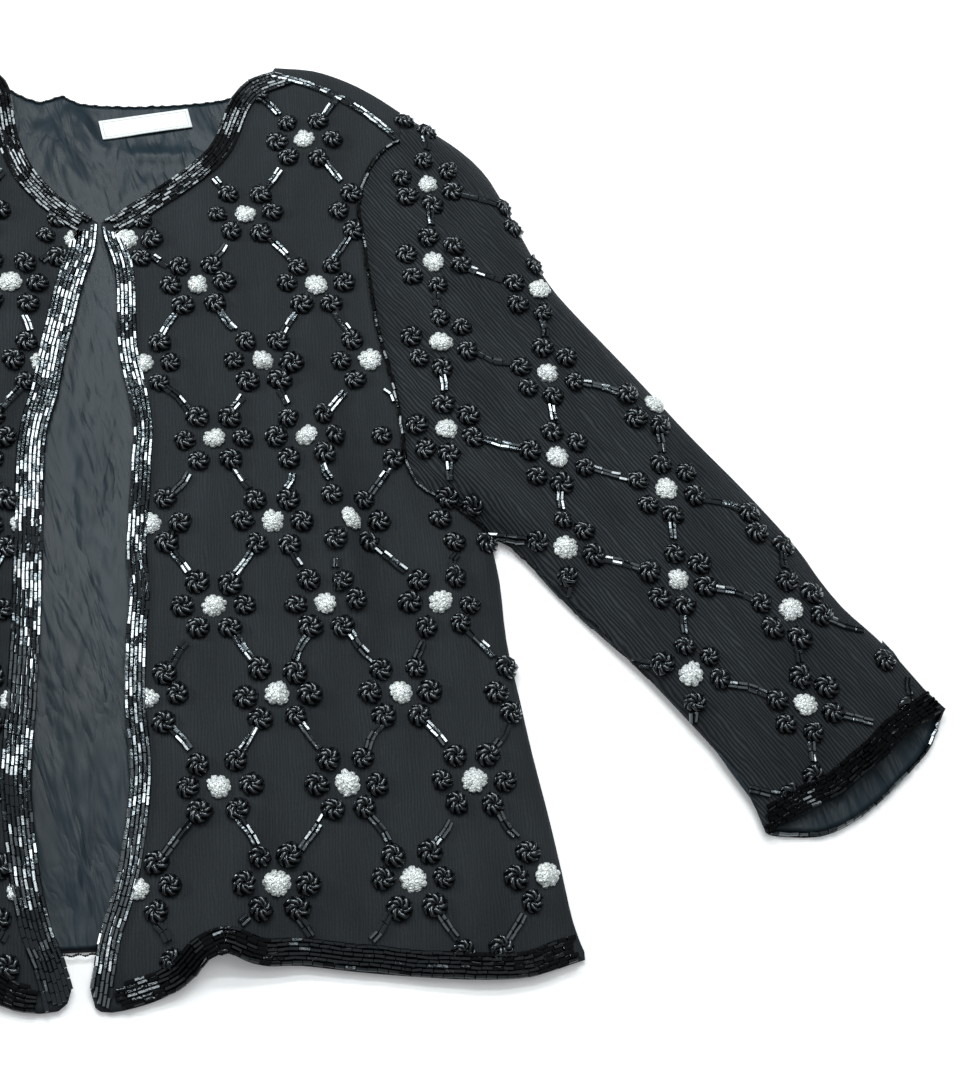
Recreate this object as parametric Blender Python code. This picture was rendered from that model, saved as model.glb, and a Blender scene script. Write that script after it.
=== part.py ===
# Beaded evening jacket, laid flat on a table with its fronts fallen open.
# Units are metres. +Z is up from the table, +Y runs towards the neck, and +X is
# the wearer's left. The table is the plane Z = 0.
# Every piece of the left half is worked out in plan and given a height; the
# right half uses the same rules with X turned round.
import math

import bpy
from mathutils import Vector, geometry

# Cloth and trim
BACK_CLOTH = 0.0012
LINING_CLOTH = 0.0010
FRONT_CLOTH = 0.0015
SLEEVE_CLOTH = 0.0014
SEAM_GAP = 0.0003
TRIM_HEIGHT = 0.0022
STATION = 0.013

# Bands of bugle beads, by the edge they run along
NECK_BAND = 0.0155
FRONT_BAND = {"left": 0.013, "right": 0.0175}
HEM_BAND = 0.0135
CUFF_BAND = 0.015

# Rows of x, y and the height of the top of the cloth, from the point of the V
# up to the high point of the shoulder
NECK = {
    "left": [
        (-0.018, 0.204, 0.0046),
        (0.005, 0.221, 0.0048),
        (0.029, 0.240, 0.0052),
        (0.045, 0.254, 0.0056),
        (0.057, 0.268, 0.0060),
        (0.066, 0.290, 0.0070),
        (0.074, 0.310, 0.0085),
        (0.086, 0.324, 0.0105),
        (0.103, 0.331, 0.0120),
    ],
    "right": [
        (0.020, 0.204, 0.0046),
        (0.040, 0.218, 0.0048),
        (0.053, 0.232, 0.0050),
        (0.063, 0.244, 0.0054),
        (0.071, 0.260, 0.0060),
        (0.077, 0.280, 0.0068),
        (0.080, 0.300, 0.0080),
        (0.086, 0.320, 0.0102),
        (0.103, 0.331, 0.0120),
    ],
}

# Rows of x and y of the opening edge, from the lower corner up to the V
FRONT_EDGE = {
    "left": [
        (-0.020, -0.318),
        (-0.018, -0.305),
        (-0.015, -0.288),
        (-0.007, -0.262),
        (-0.002, -0.232),
        (0.002, -0.202),
        (0.002, -0.177),
        (-0.001, -0.150),
        (-0.001, -0.109),
        (0.002, -0.075),
        (0.000, -0.044),
        (0.001, -0.012),
        (0.003, 0.017),
        (0.004, 0.043),
        (0.000, 0.070),
        (-0.006, 0.105),
        (-0.007, 0.147),
        (-0.010, 0.173),
        (-0.016, 0.190),
        (-0.018, 0.204),
    ],
    "right": [
        (0.030, -0.317),
        (0.035, -0.300),
        (0.040, -0.288),
        (0.047, -0.264),
        (0.051, -0.240),
        (0.055, -0.205),
        (0.055, -0.180),
        (0.053, -0.115),
        (0.052, -0.075),
        (0.052, -0.012),
        (0.052, 0.035),
        (0.045, 0.066),
        (0.039, 0.105),
        (0.034, 0.130),
        (0.029, 0.157),
        (0.022, 0.180),
        (0.020, 0.204),
    ],
}
CORNER = {
    "left": [(-0.0075, -0.3320), (-0.0150, -0.3313), (-0.0192, -0.3265)],
    "right": [(0.0475, -0.3312), (0.0375, -0.3302), (0.0318, -0.3255)],
}

# Rows of x, y and height of the front hem, from the side seam to the corner.
# Where it is high, the hem stands up in a wave.
HEM = {
    "left": [
        (0.269, -0.312, 0.0030),
        (0.236, -0.321, 0.0042),
        (0.205, -0.322, 0.0060),
        (0.171, -0.319, 0.0044),
        (0.136, -0.315, 0.0042),
        (0.101, -0.310, 0.0052),
        (0.081, -0.310, 0.0072),
        (0.068, -0.307, 0.0105),
        (0.057, -0.302, 0.0145),
        (0.047, -0.306, 0.0110),
        (0.038, -0.316, 0.0062),
        (0.022, -0.325, 0.0034),
        (0.005, -0.330, 0.0026),
    ],
    "right": [
        (0.269, -0.312, 0.0030),
        (0.236, -0.321, 0.0042),
        (0.205, -0.322, 0.0060),
        (0.171, -0.319, 0.0044),
        (0.140, -0.314, 0.0050),
        (0.116, -0.311, 0.0085),
        (0.098, -0.314, 0.0120),
        (0.082, -0.319, 0.0080),
        (0.070, -0.326, 0.0036),
        (0.058, -0.330, 0.0026),
    ],
}

# Shoulder seam, and the fold of the back where it rolls over towards the front.
# Rows of seam x, y, height, and fold x, y.
SHOULDER = [
    (0.103, 0.3310, 0.0120, 0.106, 0.3385),
    (0.128, 0.3215, 0.0145, 0.133, 0.3360),
    (0.150, 0.3090, 0.0165, 0.157, 0.3260),
    (0.171, 0.2920, 0.0180, 0.177, 0.3130),
    (0.192, 0.2700, 0.0190, 0.194, 0.2990),
]
FOLD_RADIUS = 0.007

# Armhole seam from the shoulder point to the underarm: x, y, height, and how
# far each side of the seam the cloth takes to settle to its own height
ARMHOLE = [
    (0.192, 0.270, 0.0190, 0.026),
    (0.175, 0.257, 0.0180, 0.026),
    (0.163, 0.236, 0.0160, 0.024),
    (0.158, 0.213, 0.0145, 0.022),
    (0.161, 0.173, 0.0135, 0.020),
    (0.166, 0.118, 0.0125, 0.018),
    (0.173, 0.082, 0.0120, 0.018),
    (0.178, 0.045, 0.0110, 0.016),
    (0.180, 0.016, 0.0090, 0.014),
    (0.188, -0.002, 0.0075, 0.012),
    (0.203, -0.011, 0.0060, 0.010),
    (0.218, -0.021, 0.0050, 0.009),
    (0.234, -0.036, 0.0040, 0.008),
]

SIDE_SEAM = [
    (0.234, -0.036),
    (0.238, -0.067),
    (0.239, -0.108),
    (0.244, -0.147),
    (0.249, -0.185),
    (0.255, -0.222),
    (0.260, -0.258),
    (0.264, -0.290),
    (0.269, -0.312),
]

# Long edges of the flattened sleeve, from the shoulder or the underarm down
SLEEVE_UPPER = [
    (0.194, 0.299),
    (0.215, 0.285),
    (0.236, 0.269),
    (0.251, 0.252),
    (0.262, 0.230),
    (0.281, 0.180),
    (0.292, 0.155),
    (0.308, 0.131),
    (0.343, 0.084),
    (0.376, 0.038),
    (0.410, -0.006),
    (0.438, -0.046),
    (0.450, -0.069),
    (0.463, -0.090),
    (0.481, -0.110),
    (0.496, -0.129),
    (0.508, -0.147),
    (0.520, -0.161),
]
SLEEVE_LOWER = [
    (0.234, -0.036),
    (0.249, -0.045),
    (0.264, -0.062),
    (0.297, -0.100),
    (0.335, -0.147),
    (0.373, -0.198),
    (0.385, -0.224),
    (0.389, -0.239),
]
# Cuff: x, y and height along the top layer, and x, y along the lower layer,
# which reaches further out
CUFF = [
    (0.520, -0.161, 0.0060, 0.520, -0.161),
    (0.503, -0.172, 0.0095, 0.508, -0.184),
    (0.485, -0.183, 0.0115, 0.492, -0.200),
    (0.467, -0.198, 0.0110, 0.476, -0.214),
    (0.443, -0.214, 0.0095, 0.453, -0.230),
    (0.416, -0.228, 0.0080, 0.425, -0.241),
    (0.389, -0.239, 0.0060, 0.389, -0.239),
]
CUFF_INWARD = Vector((-0.503, 0.864)).normalized()

# Back neck and back hem, given for the whole width because the jacket lies a
# little askew there
BACK_NECK = [
    (-0.106, 0.3315),
    (-0.090, 0.3240),
    (-0.075, 0.3135),
    (-0.060, 0.3085),
    (-0.047, 0.3145),
    (-0.033, 0.3075),
    (0.000, 0.3060),
    (0.035, 0.3085),
    (0.066, 0.3135),
    (0.086, 0.3220),
    (0.106, 0.3315),
]
BACK_HEM = [
    (-0.266, -0.308),
    (-0.200, -0.310),
    (-0.120, -0.303),
    (-0.030, -0.297),
    (0.060, -0.299),
    (0.140, -0.305),
    (0.205, -0.310),
    (0.266, -0.308),
]

# Heights of the laid cloth
BODY_LEVEL = 0.0076
EDGE_LEVEL = 0.0046
SIDE_LEVEL = 0.0030
SLEEVE_LEVEL = {"armhole": 0.0160, "cuff": 0.0125}
SLEEVE_EDGE = {"middle": 0.0062, "shoulder": 0.0090, "underarm": 0.0034}
SLEEVE_TOP_ROUND = 0.016
SLEEVE_UNDER_ROUND = 0.008
SIDE_ROUND = 0.010
# How far from an edge the cloth takes to settle to its own height
SETTLE = {"edge": 0.045, "neck": 0.045, "hem": 0.050, "shoulder": 0.024, "cuff": 0.050}
SLEEVE_END_SETTLE = {"shoulder": 0.045, "underarm": 0.035}
# The front lies down below this y, over this depth
HEM_LOW = -0.306
HEM_LOW_DEPTH = 0.018
# The sleeve falls from its armhole height to its cuff height over this run
SLEEVE_RUN_FROM = (0.180, 0.180)
SLEEVE_RUN_START = 0.06
SLEEVE_RUN = 0.36

# Soft swellings: centre x, y, half widths in x and y, height
SWELLS = [
    (0.142, 0.268, 0.050, 0.040, 0.0080),
    (0.120, 0.080, 0.055, 0.090, 0.0022),
    (0.090, -0.190, 0.060, 0.060, 0.0012),
]
# Folds of the fronts: start x, y, end x, y, half width, height
FRONT_FOLDS = [
    (0.118, 0.075, 0.150, -0.120, 0.012, 0.0070),
    (0.137, 0.060, 0.172, -0.130, 0.009, -0.0030),
    (0.057, -0.302, 0.078, -0.200, 0.013, 0.0060),
    (0.100, 0.262, 0.150, 0.205, 0.016, 0.0030),
    (0.186, -0.020, 0.214, -0.120, 0.010, 0.0028),
    (0.205, -0.322, 0.210, -0.235, 0.014, 0.0025),
    (0.045, 0.215, 0.085, 0.150, 0.014, 0.0018),
    (0.150, 0.232, 0.165, 0.290, 0.010, -0.0045),
]
SLEEVE_FOLDS = [
    (0.176, 0.240, 0.262, 0.120, 0.013, 0.0040),
    (0.180, 0.150, 0.300, -0.010, 0.014, 0.0026),
    (0.205, 0.020, 0.300, -0.060, 0.010, 0.0030),
    (0.240, 0.230, 0.350, 0.050, 0.014, 0.0020),
    (0.330, 0.000, 0.430, -0.150, 0.013, 0.0018),
    (0.380, -0.010, 0.470, -0.130, 0.012, 0.0022),
    (0.215, 0.010, 0.238, -0.020, 0.010, 0.0030),
]
# Creases of the lining where it shows between the fronts and in the neck
LINING_FOLDS = [
    (-0.040, 0.170, -0.028, 0.020, 0.008, 0.0014),
    (-0.012, 0.110, -0.024, -0.040, 0.007, 0.0012),
    (-0.038, -0.060, -0.026, -0.200, 0.008, 0.0014),
    (-0.014, -0.120, -0.034, -0.270, 0.006, 0.0012),
    (-0.062, 0.290, -0.030, 0.225, 0.009, 0.0030),
    (-0.045, 0.303, -0.012, 0.262, 0.007, 0.0034),
    (-0.008, 0.262, 0.050, 0.262, 0.006, 0.0026),
    (0.020, 0.240, -0.005, 0.215, 0.007, 0.0012),
]
# Cloth taken up by the long fold of the front, which draws the beading inwards
PLEAT = {"x": 0.128, "width": 0.020, "y": -0.005, "reach": 0.085, "takes": 0.030}

# Beaded flowers: a pale rosette with six dark ones round it, on a diamond net
FLOWER_ACROSS = 0.0392
FLOWER_DOWN = 0.118
FIRST_COLUMN = 0.014
ODD_ROW = 0.034
EVEN_ROW = -0.026
SLEEVE_FLOWER = Vector((0.281, 0.145))
SLEEVE_ROW = Vector((0.000, -0.065))
SLEEVE_COLUMN = Vector((0.072, -0.087))
RING_RADIUS = 0.0198
RING_ANGLES = (0, 55, 125, 180, 235, 305)
ROSETTES = {
    "pale": {"radius": 0.0077, "height": 0.0036, "sides": 6},
    "dark": {"radius": 0.0070, "height": 0.0032, "sides": 5},
}

ROSETTE_GAP = 0.0006
FRONT_ROSETTE_MARGIN = 0.0016
SLEEVE_ROSETTE_MARGIN = 0.0050

LABEL = {"centre": (0.0125, 0.2890), "size": (0.064, 0.0165), "turn": 11.5, "grid": (7, 2)}
LABEL_CLEAR = 0.010

# Lining of the back: how far it stops short of each edge of the back
LINING_SIDE_IN = 0.004
LINING_ARM_IN = (0.008, 0.010)
LINING_SHOULDER_IN = (0.002, 0.0168)
LINING_NECK_IN = 0.0015
LINING_HEM_IN = 0.0022
LINING_HEM_SHARE = 0.97
CREASE_MARGIN = 0.012

# Spacing of the points inside each sheet, and how far they keep from its border
FRONT_RING = (0.006, 0.009)
FRONT_NET = (0.024, 0.014)
FRONT_UNDER_RINGS = ((0.006, 0.010), (0.019, 0.018))
FRONT_UNDER_NET = (0.034, 0.030)
SLEEVE_NET = (0.024, 0.0155)
SLEEVE_INSETS = (0.004, 0.010)
SLEEVE_UNDER_NET = (0.040, (0.0035, 0.008))
SLEEVE_INNER_NET = (0.032, (0.005, 0.012))
SLEEVE_NET_STEP = 0.008
BACK_NET = (0.055, 0.020)
LINING_NET = (0.050, 0.016)
LINING_UNDER_NET = (0.060, 0.020)
ROSETTE_CLEAR = 0.0045
BORDER_CLEAR = 0.003
# Turns of the rolled shoulder, from the table at -90 to the top at 90
ROLL_TURNS = (-75, -45, -15, 20, 50, 72, 90)

COLOURS = {
    "crepe": ((0.030, 0.033, 0.036, 1), 0.85, 0.0),
    "satin": ((0.060, 0.072, 0.082, 1), 0.45, 0.0),
    "beads": ((0.010, 0.010, 0.012, 1), 0.12, 0.0),
    "ribbon": ((0.780, 0.800, 0.790, 1), 0.55, 0.0),
}


def smooth(t):
    t = min(1.0, max(0.0, t))
    return t * t * (3 - 2 * t)


def rounding(t):
    t = min(1.0, max(0.0, t))
    return t * (2 - t)


def path_through(rows, step):
    """Stations about one step apart on a smooth curve through the rows."""
    found = []
    for i in range(len(rows) - 1):
        before = rows[max(i - 1, 0)]
        a, b = rows[i], rows[i + 1]
        after = rows[min(i + 2, len(rows) - 1)]
        count = max(1, round(math.dist(a[:2], b[:2]) / step))
        for k in range(count):
            t = k / count
            found.append(
                tuple(
                    q
                    + 0.5 * t * (r - p)
                    + t * t * (p - 2.5 * q + 2 * r - 0.5 * s)
                    + t ** 3 * (1.5 * (q - r) + 0.5 * (s - p))
                    for p, q, r, s in zip(before, a, b, after)
                )
            )
    found.append(tuple(rows[-1]))
    return found


def nearest(x, y, rows):
    """Distance from a point to a line of rows, and the row mixed at that place."""
    best, mixed = 1e9, rows[0]
    for a, b in zip(rows, rows[1:]):
        ux, uy = b[0] - a[0], b[1] - a[1]
        length = ux * ux + uy * uy
        t = ((x - a[0]) * ux + (y - a[1]) * uy) / length if length else 0.0
        t = min(1.0, max(0.0, t))
        d = math.hypot(x - a[0] - t * ux, y - a[1] - t * uy)
        if d < best:
            best, mixed = d, tuple(p + t * (q - p) for p, q in zip(a, b))
    return best, mixed


def folds_at(x, y, folds):
    total = 0.0
    for ax, ay, bx, by, width, height in folds:
        ux, uy = bx - ax, by - ay
        t = ((x - ax) * ux + (y - ay) * uy) / (ux * ux + uy * uy)
        if 0 < t < 1:
            d = math.hypot(x - ax - t * ux, y - ay - t * uy)
            total += height * math.sin(math.pi * t) ** 0.7 * math.exp(-((d / width) ** 2))
    return total


def blend(z, other, distance, width):
    weight = math.exp(-((distance / width) ** 2))
    return z + (other - z) * weight


def edge_x(y, side):
    """X of the opening edge at a height y up the front."""
    rows = FRONT_EDGE[side]
    for a, b in zip(rows, rows[1:]):
        if a[1] <= y <= b[1]:
            return a[0] + (b[0] - a[0]) * (y - a[1]) / (b[1] - a[1])
    return rows[0][0] if y < rows[0][1] else rows[-1][0]


def front_top(x, y, side):
    """Height of the upper face of a front."""
    z = BODY_LEVEL + folds_at(x, y, FRONT_FOLDS)
    for cx, cy, wide, long, height in SWELLS:
        z += height * math.exp(-(((x - cx) / wide) ** 2) - ((y - cy) / long) ** 2)
    d, _ = nearest(x, y, FRONT_EDGE[side])
    z = EDGE_LEVEL + (z - EDGE_LEVEL) * smooth(d / SETTLE["edge"])
    d, row = nearest(x, y, NECK[side])
    z = row[2] + (z - row[2]) * smooth(d / SETTLE["neck"])
    d, row = nearest(x, y, HEM[side])
    z = row[2] + (z - row[2]) * smooth(d / SETTLE["hem"])
    low = smooth((HEM_LOW - y) / HEM_LOW_DEPTH)
    z = max(z, EDGE_LEVEL) * (1 - low) + min(z, row[2]) * low
    d, row = nearest(x, y, [r[:3] for r in SHOULDER])
    z = blend(z, row[2], d, SETTLE["shoulder"])
    d, row = nearest(x, y, ARMHOLE)
    z = blend(z, row[2], d, row[3])
    d, _ = nearest(x, y, SIDE_SEAM)
    return SIDE_LEVEL + (z - SIDE_LEVEL) * rounding(d / SIDE_ROUND)


def sleeve_edge_distance(x, y):
    return min(nearest(x, y, SLEEVE_UPPER)[0], nearest(x, y, SLEEVE_LOWER)[0])


def sleeve_edge_level(x, y):
    """Height of the fold along the sleeve's two long edges."""
    z = SLEEVE_EDGE["middle"]
    for end, place in (("shoulder", SLEEVE_UPPER[0]), ("underarm", SLEEVE_LOWER[0])):
        z = blend(z, SLEEVE_EDGE[end], math.dist((x, y), place), SLEEVE_END_SETTLE[end])
    return z


def sleeve_top(x, y):
    """Height of the upper face of the sleeve's top layer."""
    run = smooth((math.dist((x, y), SLEEVE_RUN_FROM) - SLEEVE_RUN_START) / SLEEVE_RUN)
    level = SLEEVE_LEVEL["armhole"] * (1 - run) + SLEEVE_LEVEL["cuff"] * run
    level += folds_at(x, y, SLEEVE_FOLDS)
    d, row = nearest(x, y, [r[:3] for r in CUFF])
    level = row[2] + (level - row[2]) * smooth(d / SETTLE["cuff"])
    d, row = nearest(x, y, ARMHOLE)
    level = blend(level, row[2], d, row[3])
    edge = sleeve_edge_level(x, y)
    d = sleeve_edge_distance(x, y)
    return edge + max(level - edge, -0.001) * rounding(d / SLEEVE_TOP_ROUND)


def sleeve_under(x, y):
    """Height of the lower face of the sleeve, which lies on the table."""
    d = sleeve_edge_distance(x, y)
    return sleeve_edge_level(x, y) * (1 - rounding(d / SLEEVE_UNDER_ROUND))


def opening():
    """Outline of the part of the back that shows: the gap and the neck."""
    left = plan_of(FRONT_EDGE["left"]) + plan_of(NECK["left"])
    return left + mirrored(plan_of(FRONT_EDGE["right"]) + plan_of(NECK["right"]))[::-1]


def lining_top(x, y):
    z = BACK_CLOTH + SEAM_GAP + LINING_CLOTH
    shown = opening()
    if inside(x, y, shown):
        under_label = 0.15 + 0.85 * smooth(label_distance(x, y) / LABEL_CLEAR)
        share = smooth(border_distance(x, y, shown) / CREASE_MARGIN) * under_label
        z += folds_at(x, y, LINING_FOLDS) * share
    return z


def label_spot(u, v):
    """Place on the label, for shares along and across it from -0.5 to 0.5."""
    turn = math.radians(LABEL["turn"])
    along, across = u * LABEL["size"][0], v * LABEL["size"][1]
    cx, cy = LABEL["centre"]
    return (
        cx + along * math.cos(turn) - across * math.sin(turn),
        cy + along * math.sin(turn) + across * math.cos(turn),
    )


def label_distance(x, y):
    """Distance from the label, 0 under it."""
    turn = math.radians(LABEL["turn"])
    dx, dy = x - LABEL["centre"][0], y - LABEL["centre"][1]
    along = abs(dx * math.cos(turn) + dy * math.sin(turn)) - LABEL["size"][0] / 2
    across = abs(dy * math.cos(turn) - dx * math.sin(turn)) - LABEL["size"][1] / 2
    return math.hypot(max(along, 0.0), max(across, 0.0))


def label_grid():
    columns, rows = LABEL["grid"]
    return [
        label_spot(i / columns - 0.5, j / rows - 0.5)
        for j in range(rows + 1)
        for i in range(columns + 1)
    ]


def lifted(height, x, y):
    """Point on a height field and its normal."""
    step = 0.0015
    dx = (height(x + step, y) - height(x - step, y)) / (2 * step)
    dy = (height(x, y + step) - height(x, y - step)) / (2 * step)
    return Vector((x, y, height(x, y))), Vector((-dx, -dy, 1)).normalized()


def inside(x, y, outline):
    hit = False
    for (ax, ay), (bx, by) in zip(outline, outline[1:] + outline[:1]):
        if (ay > y) != (by > y) and x < ax + (bx - ax) * (y - ay) / (by - ay):
            hit = not hit
    return hit


def border_distance(x, y, outline):
    return nearest(x, y, outline + outline[:1])[0]


def well_inside(p, outline, margin):
    return inside(*p, outline) and border_distance(*p, outline) > margin


def around(rosettes):
    """Circles that keep other points off the rosettes: x, y, radius."""
    return [(x, y, ROSETTES[kind]["radius"] + ROSETTE_CLEAR) for x, y, kind in rosettes]


def net_points(outline, spacing, margin, keep_off=()):
    """Points of a staggered grid inside an outline, clear of its border and of
    the circles in keep_off, each a centre x, y and radius."""
    xs, ys = [p[0] for p in outline], [p[1] for p in outline]
    rise = spacing * math.sqrt(3) / 2
    found = []
    for j in range(int((max(ys) - min(ys)) / rise) + 1):
        y = min(ys) + (j + 0.5) * rise
        for i in range(int((max(xs) - min(xs)) / spacing) + 2):
            x = min(xs) + (i + 0.5 * (j % 2)) * spacing
            if not inside(x, y, outline) or border_distance(x, y, outline) < margin:
                continue
            if all(math.hypot(x - cx, y - cy) > r for cx, cy, r in keep_off):
                found.append((x, y))
    return found


def ring_inside(outline, inset, apart, keep_off=()):
    """Points a little inside an outline that runs anticlockwise, along all of it."""
    closed = [outline[-1]] + list(outline) + [outline[0]]
    found = []
    for x, y in set_back(closed, inset)[1:-1]:
        if not inside(x, y, outline) or border_distance(x, y, outline) < 0.8 * inset:
            continue
        if all(math.hypot(x - cx, y - cy) > r for cx, cy, r in keep_off):
            found.append((x, y))
    return thinned(found, apart)


def thinned(points, apart):
    kept = []
    for p in points:
        if all(math.dist(p, q) > apart for q in kept):
            kept.append(p)
    return kept


def fill(outline, inner):
    """Triangles, turned upwards, between the points of an outline and the points
    inside it. Indices count the outline first."""
    points = [Vector(p[:2]) for p in list(outline) + list(inner)]
    loop = list(range(len(outline)))
    made = geometry.delaunay_2d_cdt(points, [], [loop], 1, 1e-7, True)
    source = [ids[0] for ids in made[3]]
    faces = []
    for face in made[2]:
        a, b, c = (source[i] for i in face)
        middle = (points[a] + points[b] + points[c]) / 3
        if not inside(middle.x, middle.y, [tuple(p) for p in points[:len(outline)]]):
            continue
        turn = (points[b] - points[a]).cross(points[c] - points[a])
        faces.append((a, b, c) if turn > 0 else (a, c, b))
    return faces


def open_edges(faces):
    used = {}
    for face in faces:
        for a, b in zip(face, face[1:] + face[:1]):
            used[(a, b)] = True
    return [edge for edge in used if (edge[1], edge[0]) not in used]


def wall(name, outer, outer_faces, inner, inner_faces, material, flip):
    """Closed wall between an outer and an inner sheet, whose rims are the same
    leading points of both lists. The outer faces look out, and the inner faces
    are given the same way round."""
    points = [Vector(p) for p in list(outer) + list(inner)]
    shift = len(outer)
    faces = list(outer_faces)
    faces += [tuple(shift + i for i in reversed(f)) for f in inner_faces]
    for a, b in open_edges(outer_faces):
        faces += [(b, a, shift + a), (b, shift + a, shift + b)]
    if flip:
        points = [Vector((-p.x, p.y, p.z)) for p in points]
        faces = [tuple(reversed(f)) for f in faces]
    mesh = bpy.data.meshes.new(name)
    mesh.from_pydata([tuple(p) for p in points], [], faces)
    mesh.shade_smooth()
    mesh.set_sharp_from_angle(angle=math.radians(50))
    mesh.materials.append(material_of(material))
    made = bpy.data.objects.new(name, mesh)
    bpy.context.collection.objects.link(made)
    return made


def material_of(kind):
    found = bpy.data.materials.get(kind)
    if found:
        return found
    colour, roughness, metallic = COLOURS[kind]
    made = bpy.data.materials.new(kind)
    made.use_nodes = True
    shader = made.node_tree.nodes["Principled BSDF"]
    shader.inputs["Base Color"].default_value = colour
    shader.inputs["Roughness"].default_value = roughness
    shader.inputs["Metallic"].default_value = metallic
    return made


def drawn_in(x, y):
    """X of a beaded flower once the long fold has taken up its cloth."""
    share = smooth((x - PLEAT["x"] + PLEAT["width"]) / (2 * PLEAT["width"]))
    depth = math.exp(-(((y - PLEAT["y"]) / PLEAT["reach"]) ** 2))
    return x - PLEAT["takes"] * share * depth


def front_flowers(side):
    found = []
    for k in range(6):
        first = ODD_ROW if k % 2 else EVEN_ROW
        for j in range(-3, 4):
            y = first + FLOWER_DOWN * j
            x = FIRST_COLUMN + FLOWER_ACROSS * k + edge_x(y, side) * (1 - k / 5.5)
            found.append((drawn_in(x, y), y, 0.0))
    return found


def sleeve_flowers():
    slope = math.degrees(math.atan2(SLEEVE_COLUMN.y, SLEEVE_COLUMN.x)) + 90
    found = []
    for j in range(-1, 4):
        for i in range(-2, 6):
            place = SLEEVE_FLOWER + i * SLEEVE_ROW + j * SLEEVE_COLUMN
            found.append((place.x, place.y, slope))
    return found


def rosettes_of(flowers, outline, margin):
    """Rosettes whose whole foot lies inside the outline: x, y, kind."""
    kept = []
    for x, y, turn in flowers:
        wanted = [(x, y, "pale")]
        for angle in RING_ANGLES:
            a = math.radians(angle + turn)
            wanted.append((x + RING_RADIUS * math.cos(a), y + RING_RADIUS * math.sin(a), "dark"))
        for rx, ry, kind in wanted:
            radius = ROSETTES[kind]["radius"]
            if not inside(rx, ry, outline):
                continue
            if border_distance(rx, ry, outline) < radius + margin:
                continue
            clear = all(
                math.hypot(rx - qx, ry - qy) > radius + ROSETTES[other]["radius"] + ROSETTE_GAP
                for qx, qy, other in kept
            )
            if clear:
                kept.append((rx, ry, kind))
    return kept


def rosette_points(rosettes, height):
    """Foot and crown points of each rosette: plan points, and points in space."""
    plan, space = [], []
    for x, y, kind in rosettes:
        form = ROSETTES[kind]
        for k in range(form["sides"]):
            a = 2 * math.pi * k / form["sides"] + 7 * x
            px, py = x + form["radius"] * math.cos(a), y + form["radius"] * math.sin(a)
            plan.append((px, py))
            space.append(lifted(height, px, py)[0])
        point, normal = lifted(height, x, y)
        plan.append((x, y))
        space.append(point + normal * form["height"])
    return plan, space


def trim(name, outer_row, inner_row, height, flip):
    """Band of beads on a panel: the panel's own rows moved out along its normals.
    The rows run side by side, and neighbours may share an inner point."""
    rows = []
    for row in (list(outer_row), list(inner_row)):
        for end, step in ((0, 1), (-1, -1)):
            here, i = Vector(row[end]), end
            while (Vector(row[i]) - here).length < 1e-6:
                i += step
            towards = (Vector(row[i]) - here).normalized()
            row[end] = tuple(here + towards * SEAM_GAP * 0.6)
        rows.append(row)
    low, high, index = [], [], {}
    for row in rows:
        for p in row:
            if p not in index:
                index[p] = len(low)
                point, normal = lifted(height, *p)
                low.append(point + normal * SEAM_GAP)
                high.append(point + normal * (SEAM_GAP + TRIM_HEIGHT))
    faces = strip_faces([index[p] for p in rows[0]], [index[p] for p in rows[1]])
    plan = {i: p for p, i in index.items()}
    if area(plan, faces) < 0:
        faces = [tuple(reversed(f)) for f in faces]
    return wall(name, high, faces, low, faces, "beads", flip)


def area(plan, faces):
    total = 0.0
    for a, b, c in faces:
        (ax, ay), (bx, by), (cx, cy) = plan[a], plan[b], plan[c]
        total += (bx - ax) * (cy - ay) - (cx - ax) * (by - ay)
    return total


def turned_up(plan, faces):
    """The same triangles, all turned to face up."""
    spots = dict(enumerate(plan))
    return [f if area(spots, [f]) > 0 else tuple(reversed(f)) for f in faces]


def strip_faces(first, second):
    """Triangles between two rows of indices that run side by side."""
    faces = []
    for k in range(len(first) - 1):
        a, b, c, d = first[k], first[k + 1], second[k + 1], second[k]
        faces.append((a, b, c))
        if c != d:
            faces.append((a, c, d))
    return faces


def set_back(rows, distance):
    """Rows moved sideways, to the left of their direction for a positive distance."""
    moved = []
    for i, row in enumerate(rows):
        a, b = rows[max(i - 1, 0)], rows[min(i + 1, len(rows) - 1)]
        along = Vector((b[0] - a[0], b[1] - a[1])).normalized()
        moved.append((row[0] - along.y * distance, row[1] + along.x * distance))
    return moved


def armhole_row(distance):
    """Armhole seam moved towards the sleeve, or towards the body when negative."""
    return set_back(plan_of(path_through([r[:2] for r in ARMHOLE], STATION)), distance)


def corner_of(first, second, raw):
    """Corner between two seams that are both set back."""
    return (first[0] + second[0] - raw[0], first[1] + second[1] - raw[1])


def plan_of(rows):
    return [(r[0], r[1]) for r in rows]


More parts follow.
